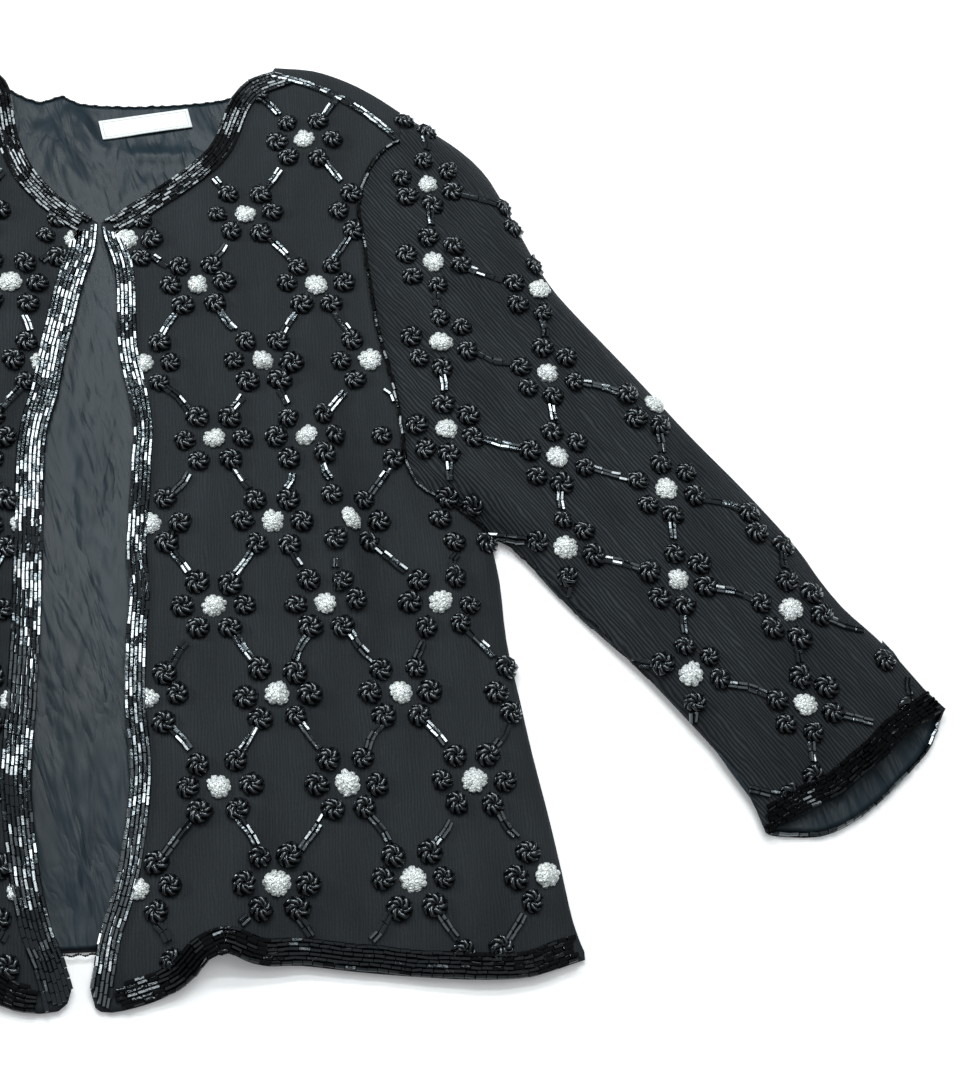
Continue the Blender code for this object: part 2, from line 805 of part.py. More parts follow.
def front_rows(side):
    """Rows of the border of a front, and the inner rows of its three bands."""
    neck = plan_of(path_through(NECK[side], STATION))
    shoulder = plan_of(path_through([r[:2] for r in SHOULDER], STATION))
    side_seam = plan_of(path_through(SIDE_SEAM, STATION * 1.4))
    hem = plan_of(path_through([r[:2] for r in HEM[side]], STATION))
    edge = plan_of(path_through(FRONT_EDGE[side], STATION))
    shoulder = set_back(shoulder, -SEAM_GAP / 2)
    armhole = armhole_row(-SEAM_GAP / 2)
    shoulder[-1] = corner_of(shoulder[-1], armhole[0], SHOULDER[-1])
    side_seam[0] = armhole[-1]
    width = FRONT_BAND[side]
    corner_in = (edge[0][0] + width, edge[0][1])
    rows = {
        "hem": hem + CORNER[side],
        "hem_in": [(x, y + HEM_BAND) for x, y in hem] + [corner_in] * len(CORNER[side]),
        "edge": edge,
        "edge_in": [(x + width, y) for x, y in edge],
        "neck": neck,
        "neck_in": set_back(neck, -NECK_BAND),
        "shoulder": shoulder,
        "armhole": armhole,
        "side_seam": side_seam,
    }
    return rows


def front(side):
    flip = side == "right"
    rows = front_rows(side)

    def height(x, y):
        return front_top(x, y, side)

    # The V of the neck and the high point of the shoulder are shared by two rows
    point_in = (rows["edge"][-1][0] + FRONT_BAND[side], rows["edge"][-1][1] - 0.009)
    rows["edge_in"][-1] = point_in
    rows["neck_in"][0] = point_in
    shoulder = rows["shoulder"]
    rows["neck_in"][-1] = shoulder[1]
    rows["hem_in"][0] = rows["side_seam"][-2]
    rim = (
        rows["side_seam"][:-1]
        + rows["hem"]
        + rows["edge"]
        + rows["neck"][1:]
        + shoulder[1:]
        + rows["armhole"][1:-1]
    )
    rim = [(round(x, 7), round(y, 7)) for x, y in rim][::-1]
    known = {p: i for i, p in enumerate(rim)}
    extra = []

    def index_of(p):
        p = (round(p[0], 7), round(p[1], 7))
        if p not in known:
            known[p] = len(rim) + len(extra)
            extra.append(p)
        return known[p]

    bands = (("hem", "hem_in"), ("edge", "edge_in"), ("neck", "neck_in"))
    strips = []
    for outer, inner in bands:
        strips += strip_faces(
            [index_of(p) for p in rows[outer]], [index_of(p) for p in rows[inner]]
        )
    corner = (rows["hem"][-1], rows["edge"][0], rows["edge_in"][0])
    strips.append(tuple(index_of(p) for p in corner))
    plan = rim + extra
    strips = turned_up(plan, strips)
    covered = set(open_edges(strips))
    border = {i: (i + 1) % len(rim) for i in range(len(rim))}
    # The part of the panel that the bands leave: its border runs along their inner rows
    field_next = {}
    for a, b in border.items():
        if (a, b) not in covered:
            field_next[a] = b
    for a, b in covered:
        if border.get(a) != b:
            field_next[b] = a
    start = next(iter(field_next))
    loop = [start]
    while field_next[loop[-1]] != start:
        loop.append(field_next[loop[-1]])
    outline = [plan[i] for i in loop]
    rosettes = rosettes_of(front_flowers(side), outline, FRONT_ROSETTE_MARGIN)
    dots, raised = rosette_points(rosettes, height)
    keep_off = around(rosettes)
    net = ring_inside(outline, *FRONT_RING, keep_off)
    net += net_points(outline, *FRONT_NET, keep_off)
    outer_plan = plan + net
    outer = [lifted(height, *p)[0] for p in outer_plan] + raised
    numbers = loop + list(range(len(plan), len(plan) + len(net) + len(dots)))
    faces = strips + [tuple(numbers[i] for i in f) for f in fill(outline, net + dots)]
    plain = []
    for inset, apart in FRONT_UNDER_RINGS:
        plain += ring_inside(rim, inset, apart)
    plain += net_points(rim, *FRONT_UNDER_NET)
    inner = [lifted(height, *p)[0] - Vector((0, 0, FRONT_CLOTH)) for p in rim]
    for p in plain:
        point, normal = lifted(height, *p)
        inner.append(point - normal * FRONT_CLOTH)
    wall(f"front_{side}", outer, faces, inner, fill(rim, plain), "crepe", flip)
    for name, (outer_row, inner_row) in zip(("hem", "front", "neck"), bands):
        first, second = rows[outer_row], rows[inner_row]
        if name == "front":
            first, second = [rows["hem"][-1]] + first, [second[0]] + second
        trim(f"{name}_band_{side}", first, second, height, flip)


def sleeve(side):
    flip = side == "right"
    seam = armhole_row(SEAM_GAP / 2)
    head = (SLEEVE_UPPER[0][0] + 0.0006, SLEEVE_UPPER[0][1])
    seam[0] = (seam[0][0] + 0.0006, seam[0][1])
    cap = [head] + [tuple(Vector(head).lerp(Vector(seam[0]), t)) for t in (0.3, 0.65)]
    armhole = cap + seam
    upper = plan_of(path_through(SLEEVE_UPPER, STATION * 1.5))
    lower = plan_of(path_through(SLEEVE_LOWER, STATION * 1.5))
    upper[0], lower[0] = head, seam[-1]
    cuff = plan_of(path_through([r[:2] for r in CUFF], STATION))
    cuff_under = plan_of(path_through([r[3:] for r in CUFF], STATION))
    # Long edges are shared by the top and the under layer
    edges = upper[1:-1] + lower[1:-1]
    top_ends = armhole + cuff
    under_ends = armhole[1:-1] + cuff_under[1:-1]
    count_top, count_edges = len(top_ends), len(edges)
    rim_plan = top_ends + edges + under_ends
    a0, c0 = 0, len(armhole)
    e_upper = list(range(count_top, count_top + len(upper) - 2))
    e_lower = list(range(count_top + len(upper) - 2, count_top + count_edges))
    u_arm = [a0] + list(range(count_top + count_edges, count_top + count_edges + len(armhole) - 2))
    u_arm.append(len(armhole) - 1)
    first_cuff = count_top + count_edges + len(armhole) - 2
    u_cuff = [c0] + list(range(first_cuff, first_cuff + len(cuff_under) - 2)) + [count_top - 1]
    t_arm = list(range(len(armhole)))
    t_cuff = list(range(c0, count_top))
    top_loop = t_arm + e_lower + t_cuff[::-1] + e_upper[::-1]
    under_loop = u_arm + e_lower + u_cuff[::-1] + e_upper[::-1]
    under_set = set(u_arm[1:-1]) | set(u_cuff[1:-1])

    # Inner row of the cuff band
    band_in = [tuple(Vector(p) + CUFF_INWARD * CUFF_BAND) for p in cuff]
    band_in[0], band_in[-1] = upper[-2], lower[-2]
    band_first = len(rim_plan)
    band_index = [e_upper[-1]] + list(range(band_first, band_first + len(cuff) - 2)) + [e_lower[-1]]
    strips = [tuple(f) for f in strip_faces(t_cuff, band_index)]
    plan = rim_plan + band_in[1:-1]
    strips = turned_up(plan, strips)
    field_loop = t_arm + e_lower + band_index[-2:0:-1] + e_upper[::-1]
    outline = [plan[i] for i in field_loop]

    rosettes = rosettes_of(sleeve_flowers(), outline, SLEEVE_ROSETTE_MARGIN)
    dots, raised = rosette_points(rosettes, sleeve_top)
    keep_off = around(rosettes)
    rows_in = []
    for line, turn in ((upper, -1), (lower, 1)):
        for inset in SLEEVE_INSETS:
            for p in set_back(line, turn * inset)[1:-2]:
                clear = all(math.hypot(p[0] - x, p[1] - y) > r for x, y, r in keep_off)
                if clear and well_inside(p, outline, BORDER_CLEAR):
                    rows_in.append(p)
    net = rows_in + net_points(outline, *SLEEVE_NET, keep_off)

    outer, inner = [], []
    for i, p in enumerate(rim_plan):
        if i in under_set:
            outer.append(lifted(sleeve_under, *p)[0])
            inner.append(outer[-1] + Vector((0, 0, SLEEVE_CLOTH)))
        elif i in e_upper or i in e_lower or p in (upper[0], upper[-1], lower[0], lower[-1]):
            towards = (Vector(middle_of(p)) - Vector(p)).normalized()
            outer.append(Vector((p[0], p[1], sleeve_top(*p))))
            shift = towards * SLEEVE_CLOTH
            inner.append(outer[-1] + Vector((shift.x, shift.y, 0)))
        else:
            outer.append(lifted(sleeve_top, *p)[0])
            inner.append(outer[-1] - Vector((0, 0, SLEEVE_CLOTH)))
    rim_count = len(rim_plan)
    outer += [lifted(sleeve_top, *p)[0] for p in band_in[1:-1] + net]
    outer += raised
    numbers = field_loop + list(range(len(plan), len(plan) + len(net) + len(dots)))
    faces = strips + [tuple(numbers[i] for i in f) for f in fill(outline, net + dots)]

    def under_net(loop, spacing, insets):
        outline_under = [rim_plan[i] for i in loop]
        points = []
        for line, turn in ((upper, -1), (lower, 1)):
            for inset in insets:
                for p in set_back(line, turn * inset)[1:-1]:
                    if well_inside(p, outline_under, BORDER_CLEAR):
                        points.append(p)
        points += net_points(outline_under, spacing, max(insets) + SLEEVE_NET_STEP)
        return outline_under, points

    under_outline, under_points = under_net(under_loop, *SLEEVE_UNDER_NET)
    shift = len(outer)
    outer += [lifted(sleeve_under, *p)[0] for p in under_points]
    numbers = under_loop + list(range(shift, shift + len(under_points)))
    faces += [tuple(numbers[i] for i in reversed(f)) for f in fill(under_outline, under_points)]

    top_outline, top_points = under_net(top_loop, *SLEEVE_INNER_NET)
    for p in top_points:
        point, normal = lifted(sleeve_top, *p)
        inner.append(point - normal * SLEEVE_CLOTH)
    numbers = top_loop + list(range(rim_count, rim_count + len(top_points)))
    inner_faces = [tuple(numbers[i] for i in f) for f in fill(top_outline, top_points)]
    shift = len(inner)
    for p in under_points:
        point, normal = lifted(sleeve_under, *p)
        inner.append(point + normal * SLEEVE_CLOTH)
    numbers = under_loop + list(range(shift, shift + len(under_points)))
    inner_faces += [tuple(numbers[i] for i in reversed(f)) for f in fill(under_outline, under_points)]
    wall(f"sleeve_{side}", outer, faces, inner, inner_faces, "crepe", flip)
    trim(f"cuff_band_{side}", cuff, band_in, sleeve_top, flip)


def middle_of(p):
    """Place on the sleeve's middle line nearest to a point of its long edges."""
    middle = [
        ((a[0] + b[0]) / 2, (a[1] + b[1]) / 2)
        for a, b in zip(
            path_through(SLEEVE_UPPER[::3], 0.06)[:8], path_through(SLEEVE_LOWER, 0.06)[:8]
        )
    ]
    return nearest(*p, middle)[1]


def mirrored(rows):
    return [(-r[0], *r[1:]) for r in rows]


def back():
    """Back panel: flat on the table, rolled over at each shoulder up to the seam."""
    seam = path_through(SHOULDER, STATION)
    side_seam = plan_of(path_through(SIDE_SEAM, STATION * 2.2))
    hem = plan_of(path_through(BACK_HEM, STATION * 2.2))
    neck = plan_of(path_through(BACK_NECK, STATION))

    def roll(row, turn, offset):
        """Point of the rolled shoulder at a turn from the table, -90, to the top, 90."""
        sx, sy, top, fx, fy = row
        out = Vector((fx - sx, fy - sy))
        reach = out.length - SEAM_GAP * 0.7
        out.normalize()
        radius = top / 2
        a = math.radians(turn)
        side = FOLD_RADIUS if turn < 0 else reach
        flat = Vector((fx, fy)) - out * (side * (1 - math.cos(a)) + offset * math.cos(a))
        return Vector((flat.x, flat.y, radius + (radius - offset) * math.sin(a)))

    def roll_start(row):
        out = Vector((row[3] - row[0], row[4] - row[1])).normalized()
        return (row[3] - out.x * FOLD_RADIUS, row[4] - out.y * FOLD_RADIUS)

    left_start = [roll_start(r) for r in seam]
    arm = armhole_row(-SEAM_GAP / 2)
    side_seam[0] = arm[-1]
    arm_left = arm[:-1]
    flat_left = left_start + arm_left + side_seam[:-1]
    outline = flat_left + hem[::-1] + mirrored(flat_left)[::-1] + neck[1:-1]
    outline = outline[::-1]
    place = {(round(x, 7), round(y, 7)): i for i, (x, y) in enumerate(outline)}
    rolled_outer, rolled_inner, roll_faces = [], [], []
    for flip in (False, True):
        start = mirrored(left_start) if flip else left_start
        rows = [[place[(round(x, 7), round(y, 7))] for x, y in start]]
        for turn in ROLL_TURNS:
            row = []
            for r in seam:
                for offset, out in ((0.0, rolled_outer), (BACK_CLOTH, rolled_inner)):
                    p = roll(r, turn, offset)
                    out.append(Vector((-p.x, p.y, p.z)) if flip else p)
                row.append(("roll", len(rolled_outer) - 1))
            rows.append(row)
        for low, high in zip(rows, rows[1:]):
            for f in strip_faces(low, high):
                roll_faces.append(f if flip else tuple(reversed(f)))
    net = net_points(outline, *BACK_NET)
    flat = outline + net
    shift = len(flat)
    rolled = [tuple(i if isinstance(i, int) else shift + i[1] for i in f) for f in roll_faces]
    faces = [tuple(reversed(f)) for f in fill(outline, net)] + rolled
    outer = [Vector((x, y, 0)) for x, y in flat] + rolled_outer
    inner = [Vector((x, y, BACK_CLOTH)) for x, y in flat] + rolled_inner
    wall("back", outer, faces, inner, faces, "crepe", False)


def back_lining():
    """Satin lining of the back, lying on the back panel."""
    hem_path = plan_of(path_through(BACK_HEM, STATION * 1.6))
    hem = [(x * LINING_HEM_SHARE, y + LINING_HEM_IN) for x, y in hem_path]
    neck_path = plan_of(path_through(BACK_NECK[1:-1], STATION))
    neck = [(x, y - LINING_NECK_IN) for x, y in neck_path]
    side = [(x - LINING_SIDE_IN, y) for x, y in SIDE_SEAM[1:-1]]
    arm = [(r[0] - LINING_ARM_IN[0], r[1] - LINING_ARM_IN[1]) for r in ARMHOLE[2:-1]]
    shoulder = [
        (r[0] - LINING_SHOULDER_IN[0], r[1] - LINING_SHOULDER_IN[1]) for r in SHOULDER[1:-1]
    ]
    left = shoulder + arm + side
    outline = (left + hem[::-1] + mirrored(left)[::-1] + neck)[::-1]
    # Closer points where creases show: down the gap, and in the neck, in millimetres
    spots = [(-30 + dx, y) for y in range(-290, 300, 14) for dx in (-30, -18, -9, 0, 9, 18, 30)]
    spots += [(x, y) for x in range(-70, 61, 10) for y in range(215, 300, 9)]
    close = []
    for x, y in spots:
        p = (x / 1000, y / 1000)
        if well_inside(p, outline, 0.005) and label_distance(*p) > 0.004:
            close.append(p)
    close = label_grid() + thinned(close, 0.0075)
    net = list(close)
    for p in net_points(outline, *LINING_NET):
        if all(math.dist(p, q) > 0.018 for q in close):
            net.append(p)
    faces = fill(outline, net)
    floor_z = BACK_CLOTH + SEAM_GAP
    upper = [Vector((x, y, lining_top(x, y))) for x, y in outline + net]
    under_net = net_points(outline, *LINING_UNDER_NET)
    under = [Vector((x, y, floor_z)) for x, y in outline + under_net]
    wall("lining_back", upper, faces, under, fill(outline, under_net), "satin", False)


def label():
    """Plain woven label at the back neck, made from the lining's own points."""
    columns, rows = LABEL["grid"]
    lower = [Vector((x, y, lining_top(x, y) + SEAM_GAP)) for x, y in label_grid()]
    upper = [p + Vector((0, 0, LINING_CLOTH)) for p in lower]
    faces = []
    for j in range(rows):
        for i in range(columns):
            a = j * (columns + 1) + i
            faces += [(a, a + 1, a + columns + 2), (a, a + columns + 2, a + columns + 1)]
    wall("label", upper, faces, lower, faces, "ribbon", False)


def main():
    for old in list(bpy.data.objects):
        bpy.data.objects.remove(old)
    back()
    back_lining()
    label()
    for side in ("left", "right"):
        front(side)
        sleeve(side)


main()
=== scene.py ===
import math
import bpy
import numpy as np
from mathutils import Matrix, Vector


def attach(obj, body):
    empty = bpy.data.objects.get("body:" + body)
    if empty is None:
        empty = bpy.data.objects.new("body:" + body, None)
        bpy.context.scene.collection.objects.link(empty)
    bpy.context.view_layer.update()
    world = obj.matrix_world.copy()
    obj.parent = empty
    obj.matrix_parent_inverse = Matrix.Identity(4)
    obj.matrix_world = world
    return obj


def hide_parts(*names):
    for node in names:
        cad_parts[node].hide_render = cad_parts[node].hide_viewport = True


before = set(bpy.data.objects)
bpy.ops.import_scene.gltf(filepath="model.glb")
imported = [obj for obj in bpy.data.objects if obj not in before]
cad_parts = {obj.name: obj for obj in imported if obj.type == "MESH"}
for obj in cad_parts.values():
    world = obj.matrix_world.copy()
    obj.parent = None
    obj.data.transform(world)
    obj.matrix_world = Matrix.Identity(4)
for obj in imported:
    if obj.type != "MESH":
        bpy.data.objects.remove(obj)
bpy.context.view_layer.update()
dice = np.random.default_rng(7)
print("frame loaded:", len(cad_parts), "nodes")

# Beaded evening jacket, laid flat with its fronts fallen open. Metres, +Y towards
# the neck, +X to the wearer's left. The wearer's right is worked out with x turned
# round, so both sides share their rows, apart from the edges that fell differently.

# The lay of the cloth: rows of x, y and, where given, the height of the top
neckEdge = {
    "left": [
        (-0.018, 0.204, 0.0046), (0.005, 0.221, 0.0048), (0.029, 0.240, 0.0052),
        (0.045, 0.254, 0.0056), (0.057, 0.268, 0.0060), (0.066, 0.290, 0.0070),
        (0.074, 0.310, 0.0085), (0.086, 0.324, 0.0105), (0.103, 0.331, 0.0120),
    ],
    "right": [
        (0.020, 0.204, 0.0046), (0.040, 0.218, 0.0048), (0.053, 0.232, 0.0050),
        (0.063, 0.244, 0.0054), (0.071, 0.260, 0.0060), (0.077, 0.280, 0.0068),
        (0.080, 0.300, 0.0080), (0.086, 0.320, 0.0102), (0.103, 0.331, 0.0120),
    ],
}
openingEdge = {
    "left": [
        (-0.020, -0.318), (-0.018, -0.305), (-0.015, -0.288), (-0.007, -0.262),
        (-0.002, -0.232), (0.002, -0.202), (0.002, -0.177), (-0.001, -0.150),
        (-0.001, -0.109), (0.002, -0.075), (0.000, -0.044), (0.001, -0.012),
        (0.003, 0.017), (0.004, 0.043), (0.000, 0.070), (-0.006, 0.105),
        (-0.007, 0.147), (-0.010, 0.173), (-0.016, 0.190), (-0.018, 0.204),
    ],
    "right": [
        (0.030, -0.317), (0.035, -0.300), (0.040, -0.288), (0.047, -0.264),
        (0.051, -0.240), (0.055, -0.205), (0.055, -0.180), (0.053, -0.115),
        (0.052, -0.075), (0.052, -0.012), (0.052, 0.035), (0.045, 0.066),
        (0.039, 0.105), (0.034, 0.130), (0.029, 0.157), (0.022, 0.180), (0.020, 0.204),
    ],
}
hemLine = {
    "left": [
        (0.269, -0.312, 0.0030), (0.236, -0.321, 0.0042), (0.205, -0.322, 0.0060),
        (0.171, -0.319, 0.0044), (0.136, -0.315, 0.0042), (0.101, -0.310, 0.0052),
        (0.081, -0.310, 0.0072), (0.068, -0.307, 0.0105), (0.057, -0.302, 0.0145),
        (0.047, -0.306, 0.0110), (0.038, -0.316, 0.0062), (0.022, -0.325, 0.0034),
        (0.005, -0.330, 0.0026), (-0.0075, -0.3320, 0.0026), (-0.0150, -0.3313, 0.0026),
        (-0.0192, -0.3265, 0.0030), (-0.0200, -0.3180, 0.0038),
    ],
    "right": [
        (0.269, -0.312, 0.0030), (0.236, -0.321, 0.0042), (0.205, -0.322, 0.0060),
        (0.171, -0.319, 0.0044), (0.140, -0.314, 0.0050), (0.116, -0.311, 0.0085),
        (0.098, -0.314, 0.0120), (0.082, -0.319, 0.0080), (0.070, -0.326, 0.0036),
        (0.058, -0.330, 0.0026), (0.0475, -0.3312, 0.0026), (0.0375, -0.3302, 0.0028),
        (0.0318, -0.3255, 0.0032), (0.0300, -0.3170, 0.0038),
    ],
}
shoulderSeam = [  # x, y, height, and where the back folds over, x and y
    (0.103, 0.3310, 0.0120, 0.106, 0.3385), (0.128, 0.3215, 0.0145, 0.133, 0.3360),
    (0.150, 0.3090, 0.0165, 0.157, 0.3260), (0.171, 0.2920, 0.0180, 0.177, 0.3130),
    (0.192, 0.2700, 0.0190, 0.194, 0.2990),
]
armholeSeam = [  # x, y, height, and how far the seam holds the cloth on each side
    (0.192, 0.270, 0.0190, 0.026), (0.175, 0.257, 0.0180, 0.026),
    (0.163, 0.236, 0.0160, 0.024), (0.158, 0.213, 0.0145, 0.022),
    (0.161, 0.173, 0.0135, 0.020), (0.166, 0.118, 0.0125, 0.018),
    (0.173, 0.082, 0.0120, 0.018), (0.178, 0.045, 0.0110, 0.016),
    (0.180, 0.016, 0.0090, 0.014), (0.188, -0.002, 0.0075, 0.012),
    (0.203, -0.011, 0.0060, 0.010), (0.218, -0.021, 0.0050, 0.009),
    (0.234, -0.036, 0.0040, 0.008),
]
sideSeam = [
    (0.234, -0.036), (0.238, -0.067), (0.239, -0.108), (0.244, -0.147), (0.249, -0.185),
    (0.255, -0.222), (0.260, -0.258), (0.264, -0.290), (0.269, -0.312),
]
sleeveUpper = [
    (0.194, 0.299), (0.215, 0.285), (0.236, 0.269), (0.251, 0.252), (0.262, 0.230),
    (0.281, 0.180), (0.292, 0.155), (0.308, 0.131), (0.343, 0.084), (0.376, 0.038),
    (0.410, -0.006), (0.438, -0.046), (0.450, -0.069), (0.463, -0.090),
    (0.481, -0.110), (0.496, -0.129), (0.508, -0.147), (0.520, -0.161),
]
sleeveLower = [
    (0.234, -0.036), (0.249, -0.045), (0.264, -0.062), (0.297, -0.100),
    (0.335, -0.147), (0.373, -0.198), (0.385, -0.224), (0.389, -0.239),
]
cuffLine = [  # x, y, height of the top layer, and x and y of the longer under layer
    (0.520, -0.161, 0.0060, 0.520, -0.161), (0.503, -0.172, 0.0095, 0.508, -0.184),
    (0.485, -0.183, 0.0115, 0.492, -0.200), (0.467, -0.198, 0.0110, 0.476, -0.214),
    (0.443, -0.214, 0.0095, 0.453, -0.230), (0.416, -0.228, 0.0080, 0.425, -0.241),
    (0.389, -0.239, 0.0060, 0.389, -0.239),
]
backNeck = [
    (-0.106, 0.3315), (-0.090, 0.3240), (-0.075, 0.3135), (-0.060, 0.3085),
    (-0.047, 0.3145), (-0.033, 0.3075), (0.000, 0.3060), (0.035, 0.3085),
    (0.066, 0.3135), (0.086, 0.3220), (0.106, 0.3315),
]
backHem = [
    (-0.266, -0.308), (-0.200, -0.310), (-0.120, -0.303), (-0.030, -0.297),
    (0.060, -0.299), (0.140, -0.305), (0.205, -0.310), (0.266, -0.308),
]
lay = {  # heights and roundings of the laid cloth
    "body": 0.0076, "opening": 0.0046, "side": 0.0020, "sideRound": 0.012,
    "sleeveTop": 0.0160, "sleeveCuff": 0.0125, "fold": 0.0062, "foldShoulder": 0.0090,
    "foldUnderarm": 0.0034, "topRound": 0.016, "underRound": 0.008,
    "lining": 0.0025, "cloth": 0.0008, "step": 0.0030, "hemFrom": -0.306, "hemOver": 0.018,
    "sag": 0.001, "backCloth": 0.0010, "liningCloth": 0.0006, "cuffSatin": 0.0004, "ribbon": 0.0005,
}
holds = {  # how far from an edge it still draws the cloth to its own height
    "opening": 0.045, "neck": 0.045, "hem": 0.050, "shoulder": 0.024, "cuff": 0.050,
    "head": 0.045, "underarm": 0.035, "lining": 0.012, "label": 0.010,
}
crinkles = {  # height, size across and along, turn and seed of each set of ripples
    "front": [(0.0006, 0.012, 0.060, 0, 3), (0.0004, 0.007, 0.022, 25, 4)],
    "sleeve": [(0.0008, 0.011, 0.050, 32, 5), (0.0005, 0.006, 0.030, 36, 6)],
    "lining": [(0.0005, 0.006, 0.034, -12, 8), (0.0003, 0.004, 0.015, 30, 9)],
    "cuffLining": [(0.0012, 0.0075, 0.040, 36, 12)],
}
sleeveRun = {"x": 0.180, "y": 0.180, "start": 0.06, "length": 0.36}  # where a sleeve thins out
swells = [(0.142, 0.268, 0.050, 0.040, 0.0080), (0.120, 0.080, 0.055, 0.090, 0.0022),
          (0.090, -0.190, 0.060, 0.060, 0.0012)]  # x, y, half widths, height
frontFolds = [  # start x, y, end x, y, half width, height
    (0.118, 0.075, 0.150, -0.120, 0.012, 0.0070), (0.137, 0.060, 0.172, -0.130, 0.009, -0.0030),
    (0.057, -0.302, 0.078, -0.200, 0.013, 0.0060), (0.100, 0.262, 0.150, 0.205, 0.016, 0.0030),
    (0.186, -0.020, 0.214, -0.120, 0.010, 0.0028), (0.205, -0.322, 0.210, -0.235, 0.014, 0.0025),
    (0.045, 0.215, 0.085, 0.150, 0.014, 0.0018), (0.150, 0.232, 0.165, 0.290, 0.010, -0.0045),
]
sleeveFolds = [
    (0.176, 0.240, 0.262, 0.120, 0.013, 0.0040), (0.180, 0.150, 0.300, -0.010, 0.014, 0.0026),
    (0.205, 0.020, 0.300, -0.060, 0.010, 0.0030), (0.240, 0.230, 0.350, 0.050, 0.014, 0.0020),
    (0.330, 0.000, 0.430, -0.150, 0.013, 0.0018), (0.380, -0.010, 0.470, -0.130, 0.012, 0.0022),
    (0.215, 0.010, 0.238, -0.020, 0.010, 0.0030),
]
liningFolds = [
    (-0.040, 0.170, -0.028, 0.020, 0.008, 0.0014), (-0.012, 0.110, -0.024, -0.040, 0.007, 0.0012),
    (-0.038, -0.060, -0.026, -0.200, 0.008, 0.0014), (-0.014, -0.120, -0.034, -0.270, 0.006, 0.0012),
    (-0.062, 0.290, -0.030, 0.225, 0.009, 0.0030), (-0.045, 0.303, -0.012, 0.262, 0.007, 0.0034),
    (-0.008, 0.262, 0.050, 0.262, 0.006, 0.0026), (0.020, 0.240, -0.005, 0.215, 0.007, 0.0012),
]


def smooth(t):
    t = np.clip(t, 0, 1)
    return t * t * (3 - 2 * t)


def rounding(t):
    t = np.clip(t, 0, 1)
    return t * (2 - t)


def curveThrough(rows, step):  # stations about one step apart on a smooth curve
    rows = [np.array(row, float) for row in rows]
    found = []
    for i in range(len(rows) - 1):
        p, q, r = rows[max(i - 1, 0)], rows[i], rows[i + 1]
        s = rows[min(i + 2, len(rows) - 1)]
        count = max(1, round(float(np.hypot(*(r - q)[:2])) / step))
        for t in np.arange(count) / count:
            bend = t * t * (p - 2.5 * q + 2 * r - 0.5 * s) + t**3 * (1.5 * (q - r) + 0.5 * (s - p))
            found.append(q + 0.5 * t * (r - p) + bend)
    return np.array(found + [rows[-1]])


def evenly(curve, count):  # the same curve at evenly spaced stations
    runs = np.concatenate([[0], np.cumsum(np.hypot(*np.diff(curve[:, :2], axis=0).T))])
    at = np.linspace(0, runs[-1], count)
    return np.stack([np.interp(at, runs, curve[:, k]) for k in range(curve.shape[1])], 1)


def lengthOf(curve):
    return float(np.hypot(*np.diff(curve[:, :2], axis=0).T).sum())


def nearestOn(x, y, curve):  # distance to a curve, and its row mixed at the nearest place
    best = np.full(np.shape(x), 9.0)
    mixed = np.zeros(np.shape(x) + (curve.shape[1],))
    for a, b in zip(curve[:-1], curve[1:]):
        ux, uy = b[0] - a[0], b[1] - a[1]
        span = max(ux * ux + uy * uy, 1e-12)
        t = np.clip(((x - a[0]) * ux + (y - a[1]) * uy) / span, 0, 1)
        away = np.hypot(x - a[0] - t * ux, y - a[1] - t * uy)
        closer = away < best
        best = np.where(closer, away, best)
        mixed = np.where(closer[..., None], a + t[..., None] * (b - a), mixed)
    return best, mixed


def foldsAt(x, y, folds):
    total = np.zeros(np.shape(x))
    for ax, ay, bx, by, width, height in folds:
        ux, uy = bx - ax, by - ay
        t = ((x - ax) * ux + (y - ay) * uy) / (ux * ux + uy * uy)
        away = np.hypot(x - ax - t * ux, y - ay - t * uy)
        along = np.sin(np.pi * np.clip(t, 0, 1)) ** 0.7
        total += height * along * np.exp(-((away / width) ** 2))
    return total


def ripples(x, y, across, along, turn, seed):  # soft uneven ripples from -1 to 1
    wild = np.random.default_rng(seed).random((61, 67)) * 2 - 1
    c, s = math.cos(math.radians(turn)), math.sin(math.radians(turn))
    u, v = (x * c + y * s) / across + 300, (y * c - x * s) / along + 300
    i, j = np.floor(u).astype(int), np.floor(v).astype(int)
    fu, fv = smooth(u - i), smooth(v - j)
    corner = [wild[(i + a) % 61, (j + b) % 67] for a in (0, 1) for b in (0, 1)]
    low = corner[0] * (1 - fv) + corner[1] * fv
    return low * (1 - fu) + (corner[2] * (1 - fv) + corner[3] * fv) * fu


def blend(z, other, away, width):
    return z + (other - z) * np.exp(-((away / width) ** 2))


def settled(z, edge, away, reach):  # comes down to the height of an edge
    return edge + (z - edge) * smooth(away / reach)


def crinkled(z, x, y, kind):
    for height, *wave in crinkles[kind]:
        z = z + height * ripples(x, y, *wave)
    return z


def insideOf(outline, x, y):
    hit = np.zeros(np.shape(x), bool)
    for a, b in zip(outline, np.roll(outline, -1, axis=0)):
        if a[1] != b[1]:
            crosses = (a[1] > y) != (b[1] > y)
            hit ^= crosses & (x < a[0] + (b[0] - a[0]) * (y - a[1]) / (b[1] - a[1]))
    return hit


curves = {
    "shoulder": curveThrough(shoulderSeam, 0.008), "armhole": curveThrough(armholeSeam, 0.008),
    "side": curveThrough(sideSeam, 0.012), "upper": curveThrough(sleeveUpper, 0.010),
    "lower": curveThrough(sleeveLower, 0.012), "cuff": curveThrough(cuffLine, 0.008),
    "backNeck": curveThrough(backNeck, 0.006), "backHem": curveThrough(backHem, 0.015),
}
for hand in ("left", "right"):
    curves["neck", hand] = curveThrough(neckEdge[hand], 0.008)
    curves["opening", hand] = curveThrough(openingEdge[hand], 0.010)
    curves["hem", hand] = curveThrough(hemLine[hand], 0.008)


